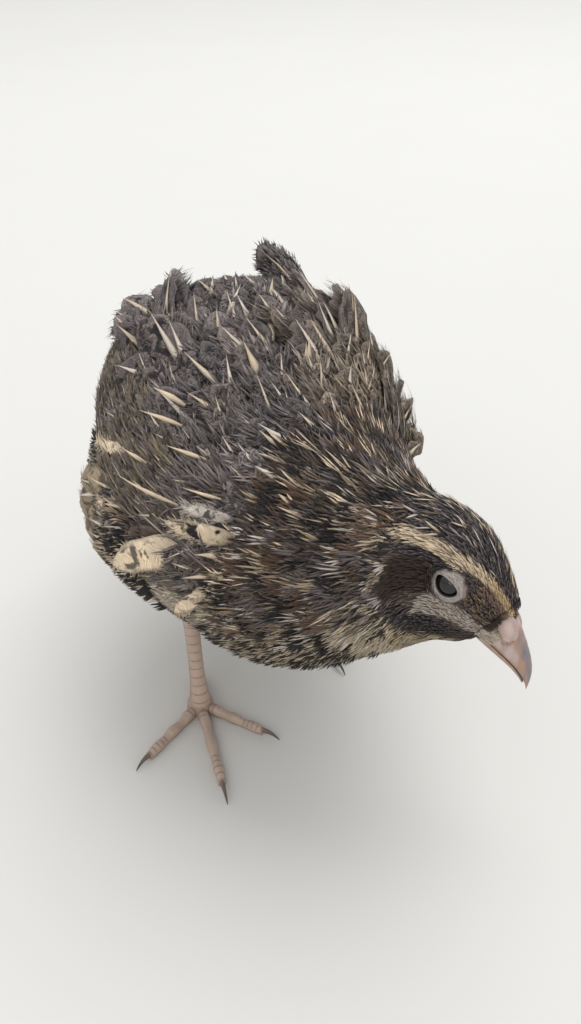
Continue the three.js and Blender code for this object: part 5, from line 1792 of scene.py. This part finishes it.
def bill_half(name, upper):
    """Cross-sections from the mouth line to the ridge or the underside, (cos t)^0.92 high and sin t wide."""
    length = BILL_LENGTH if upper else LOWER_BILL_LENGTH
    share, turn = round_grid(np.linspace(0, 1, 56) ** 0.9, 64)
    a = share * length / BILL_LENGTH
    mouth = mouth_at(a) + (GAP / 2 if upper else -GAP / 2)
    tall = (ridge_at(a) if upper else underside_at(a)) - mouth
    out = np.maximum(np.cos(turn) if upper else -np.cos(turn), 0)
    width = (BILL_WIDTH * (1 - a) ** 0.75 + 0.9) * (1 if upper else 0.86)
    lip = 0.14 * np.exp(-((out - 0.14) / 0.1) ** 2) * (1 - share)
    growth = 0.006 * np.sin(2 * np.pi * 9 * share ** 1.4) * smooth(out, 0.05, 0.3) * smooth(share, 0.3, 0.5)
    x = BILL_BASE - 2.2 * (1 - share) ** 6 + share * length
    y = (width / 2 + lip) * np.sin(turn) * (1 + growth)
    z = mouth + out ** 0.92 * tall * (1 + growth)
    rings = in_head(np.stack([x, y, z], axis=-1))
    on_ridge = smooth(out, 0.35, 0.8)
    tone = 0.3 + 1.7 * on_ridge * smooth(a, 0.15, 0.5) + 0.85 * (1 - on_ridge) * smooth(a, 0.5, 0.75)
    tone = tone if upper else 0.7 + 0.6 * smooth(a, 0.4, 0.9)
    # painted shade: the faces where the two halves of the bill meet, along the mouth line, are darker
    tone = tone + 0.8 * (1 - smooth(out, 0.0, 0.08))
    tone = tone + 0.3 * np.sin(2 * np.pi * (5 * a + 0.6 * out)) * np.sin(3 * turn + 7 * a)
    beside = np.stack([x - FLAP_AT[0], 0 * x, z - FLAP_AT[2]], axis=-1) @ tilted(25)
    ring = np.hypot(beside[..., 0] / FLAP_SIZE[0], beside[..., 2] / FLAP_SIZE[2])
    # the nostril slit under the flap's lower edge: a dark line, partly the slit's own dark and partly painted shade
    # under the flap
    tone = tone + 1.8 * within(ring, 1.0, 0.03, 0.1) * smooth(-beside[..., 2], -0.6, 0.6) * upper
    closed_loft(name, rings, tone, HORN)


def flap(name, hand):
    """A drop that leans 25 degrees down, blunt ahead. Its lower edge tucks in over the slit of the nostril. Its lower
    side and its
    front end take the darkest tone: on the lower side it is painted shade under the tucked edge."""
    a, turn = round_grid(np.linspace(0.02, 0.98, 32), 40)
    length, thick, high = FLAP_SIZE
    along = -np.cos(np.pi * a)
    swell = np.sqrt(np.maximum(1 - along ** 2, 0)) ** 0.85 * (1.05 - 0.2 * a)
    tuck = 1 - 0.35 * smooth(-np.cos(turn), 0.5, 0.9)
    local = np.stack([
        length * along, thick * swell * np.sin(turn) * tuck, high * swell * np.cos(turn)
    ], axis=-1) @ tilted(25).T
    rings = in_head(local + np.array(FLAP_AT) * [1, hand, 1])
    # painted shade: the lower side, tucked in over the nostril, is darker; the front end is darker too
    edge = smooth(-np.cos(turn), 0.55, 0.85) + smooth(along, 0.86, 0.97)
    tone = 0.5 + 0.5 * np.sin(9 * a) * np.sin(4 * turn) + 2.2 * np.minimum(edge, 1)
    closed_loft(name, rings, tone, FLAP)


bill_half("bill_upper", True)
bill_half("bill_lower", False)
for side_name, hand in HANDS:
    flap("nostril_flap_" + side_name, hand)
for side_name, hand in HANDS:
    bill_edge("bill_edge_" + side_name, hand)
    bristles("bristles_" + side_name, hand)

# %% [markdown]
# ## Legs
# Shank and toes are bare and scaly. Broad scutes overlap down the shank's front and along the top of each toe, so
# the profile is a saw: each scute is thick at its lower edge. Behind and below, the scales are small and round.

# %% Legs
ANKLE_HEIGHT, PAD_RADIUS, TOE_RADIUS, TARSUS_RADIUS = 4.4, 3.4, 1.5, 2.1
TOES = {"inner": (-45, 19, 4.6), "middle": (0, 26, 5.4), "outer": (50, 20, 4.6), "hind": (-168, 8.5, 3.6)}
SHANK_TONES = [(0.44, 0.33, 0.265), (0.30, 0.21, 0.165), (0.16, 0.11, 0.085), (0.08, 0.055, 0.045)]
CLAW_TONES = [(0.20, 0.15, 0.115), (0.12, 0.09, 0.07), (0.06, 0.045, 0.036), (0.04, 0.03, 0.025)]
SHANK = bare_material("leg scales", SHANK_TONES, 0.5, 300.0, 0.0001)
CLAW = bare_material("claw horn", CLAW_TONES, 0.35, 300.0, 0.00004)


def saw(share, count):
    """A ramp from 0 to 1 in each of count teeth, with a short fall."""
    tooth = (share * count) % 1
    return tooth * (1 - smooth(tooth, 0.86, 1.0))


def leg(side, hand):
    """Shank, ball of the foot, toes and claws, in the solids' places."""
    _, hock, foot, way = leg_line(side)
    across = np.cross(UP, way)
    ankle = foot + [0, 0, ANKLE_HEIGHT + 0.1]
    shank = hock - ankle
    front = unit(np.cross(across, shank))
    a, turn = round_grid(np.linspace(-0.06, 1.12, 150), 36)
    thick = TARSUS_RADIUS * (1 + 0.34 * np.abs(2 * np.clip(a, 0, 1) - 1) ** 3)
    on_front = smooth(np.cos(turn), 0.15, 0.5)
    scutes = 0.24 * (1 - saw(a, 11)) * on_front
    knobs = 0.07 * np.sin(2 * np.pi * 26 * a) * np.sin(9 * turn) * (1 - on_front)
    radius = thick + scutes + knobs - 0.08
    rings = moved(ankle, (shank, a), (front, 1.1 * radius * np.cos(turn)), (across, 0.92 * radius * np.sin(turn)))
    tone = 0.2 + 1.3 * (saw(a, 11) > 0.8) * on_front + 0.6 * (1 - on_front)
    closed_loft("tarsus_" + side, rings, tone, SHANK)

    a, turn = round_grid(np.linspace(0, 1, 22), 48)
    radius = (PAD_RADIUS + 0.1) * np.where(a < 0.15, 0.86 + a, 1 - 0.32 * ((a - 0.15) / 0.85) ** 2)
    radius = radius + 0.06 * np.sin(9 * turn) * np.sin(2 * np.pi * 5 * a)
    up = (ANKLE_HEIGHT + 0.2) * a
    rings = moved(foot, (way, radius * np.cos(turn)), (across, radius * np.sin(turn)), (UP, up))
    closed_loft("foot_" + side, rings, 0.6 + 0 * a, SHANK)
    for toe, (yaw, length, claw_length) in TOES.items():
        turned = around(way, UP, np.radians(yaw * hand))
        digit(f"{toe}_{side}", toe == "hind", (foot, turned, np.cross(UP, turned)), length)
        claw(f"{toe}_{side}", (foot, turned, np.cross(UP, turned)), length, claw_length)


# %% Toes and claws
def digit(name, hind, axes, length):
    """A toe, swollen between its joints, with scutes on top and flat below. axes holds the foot, and the ways along
    and across the toe."""
    foot, along, wide = axes
    joints, scale_count = (1, 5) if hind else (3, 13)
    a, turn = round_grid(np.linspace(0, 1, 20 * joints + 20), 30)
    girth = TOE_RADIUS * (0.9 - 0.18 * a) * (1 - 0.1 * np.cos(2 * np.pi * joints * a))
    on_top = smooth(np.cos(turn), 0.1, 0.5)
    scutes = 0.17 * (1 - saw(a, scale_count)) * on_top
    out = PAD_RADIUS - 1.2 + (length - PAD_RADIUS + 1.2) * a
    up = girth * np.maximum(1 + 1.08 * np.cos(turn), 0.012) + scutes
    rings = moved(foot, (along, out), (wide, girth * np.sin(turn)), (UP, up))
    # painted shade: the underside of each toe, where it rests on the floor, is darker
    tone = 0.2 + 1.3 * (saw(a, scale_count) > 0.8) * on_top + 0.7 * (np.cos(turn) < -0.2)
    closed_loft("toe_" + name, rings, tone, SHANK)


def claw(name, axes, length, claw_length):
    """A claw from the toe's end, arched, thinning to its tip as (1 - a)^0.75."""
    foot, along, wide = axes
    tip = TOE_RADIUS * 0.72 * 0.9
    a, turn = round_grid(np.linspace(0, 1, 20), 20)
    radius = 0.85 * tip * (1 - a) ** 0.75 + 0.1
    height = 1.15 * tip + (0.2 + radius - 1.15 * tip) * a * a + 0.5 * np.sin(np.pi * a)
    out = length - 0.8 + (claw_length + 1.0) * a
    up = np.maximum(height + radius * np.cos(turn), 0.03)
    rings = moved(foot, (along, out), (wide, 0.75 * radius * np.sin(turn)), (UP, up))
    closed_loft("claw_" + name, rings, 2 * a, CLAW)


for side_name, hand in HANDS:
    leg(side_name, hand)

# %% [markdown]
# ## Studio
# A plain pale floor that rises into a wall all round, so that every view has the same backdrop, and soft light from
# a wide lamp overhead. The sky adds the rest. Nothing of it belongs to the bird.

# %% Studio
def floor_material(colour):
    """One matt colour, faintly mottled so that the large floor isn't dead flat."""
    material, tree = new_material("pale floor")
    cloud = noise(tree, object_place(tree), 6.0, 3.0)
    shade = mixed(tree, cloud, (*colour, 1.0), (*(1.03 * v for v in colour), 1.0))
    shaded(tree, {"Base Color": shade, "Roughness": 0.8})
    return material


def studio():
    """A shallow bowl: flat to 0.5 m, then an arc of 12 m radius that rises to a slope of 30 degrees, turned round the
    middle."""
    steps = 96
    flat_to, bend_radius = 0.5, 12.0
    bend = np.radians(np.linspace(0, 30, 25))
    radius = np.concatenate([np.linspace(0.05, flat_to, 12), flat_to + bend_radius * np.sin(bend[1:])])
    height = np.concatenate([np.zeros(12), bend_radius * (1 - np.cos(bend[1:]))])
    grid, turn = round_grid(radius, steps)
    rings = np.stack([grid * np.cos(turn), grid * np.sin(turn), np.broadcast_to(height[:, None], turn.shape)], axis=-1)
    points = np.concatenate([rings.reshape(-1, 3), [[0, 0, 0]]])
    quads, ends = tube_faces(len(radius), steps)
    mesh = bpy.data.meshes.new("studio")
    mesh.from_pydata(points.tolist(), [], quads.tolist() + ends[:steps].tolist())
    mesh.polygons.foreach_set("use_smooth", np.ones(len(mesh.polygons), bool))
    mesh.materials.append(floor_material((0.62, 0.61, 0.58)))
    floor = bpy.data.objects.new("studio", mesh)
    bpy.context.scene.collection.objects.link(floor)


def lamp(name, place, size, power, colour):
    """A square lamp that faces the bird's back."""
    data = bpy.data.lights.new(name, "AREA")
    data.shape, data.size, data.energy, data.color = "SQUARE", size, power, colour
    light = bpy.data.objects.new(name, data)
    bpy.context.scene.collection.objects.link(light)
    towards = unit(np.array([0.0, 0.0, 0.06]) - np.array(place))
    light.location = place
    light.rotation_euler = (
        float(np.arccos(-towards[2])), 0.0, float(np.arctan2(towards[1], towards[0]) - np.pi / 2)
    )


studio()
lamp("sky window", (-1.05, 1.05, 3.3), 3.0, 85.0, (0.98, 0.99, 1.0))
lamp("front fill", (2.7, -1.8, 1.8), 2.4, 24.0, (1.0, 0.98, 0.95))
world = bpy.data.worlds.new("sky")
world.use_nodes = True
world.node_tree.nodes["Background"].inputs[0].default_value = (0.97, 0.98, 1.0, 1.0)
world.node_tree.nodes["Background"].inputs[1].default_value = 0.88
bpy.context.scene.world = world
bpy.context.scene.view_settings.view_transform = "Standard"
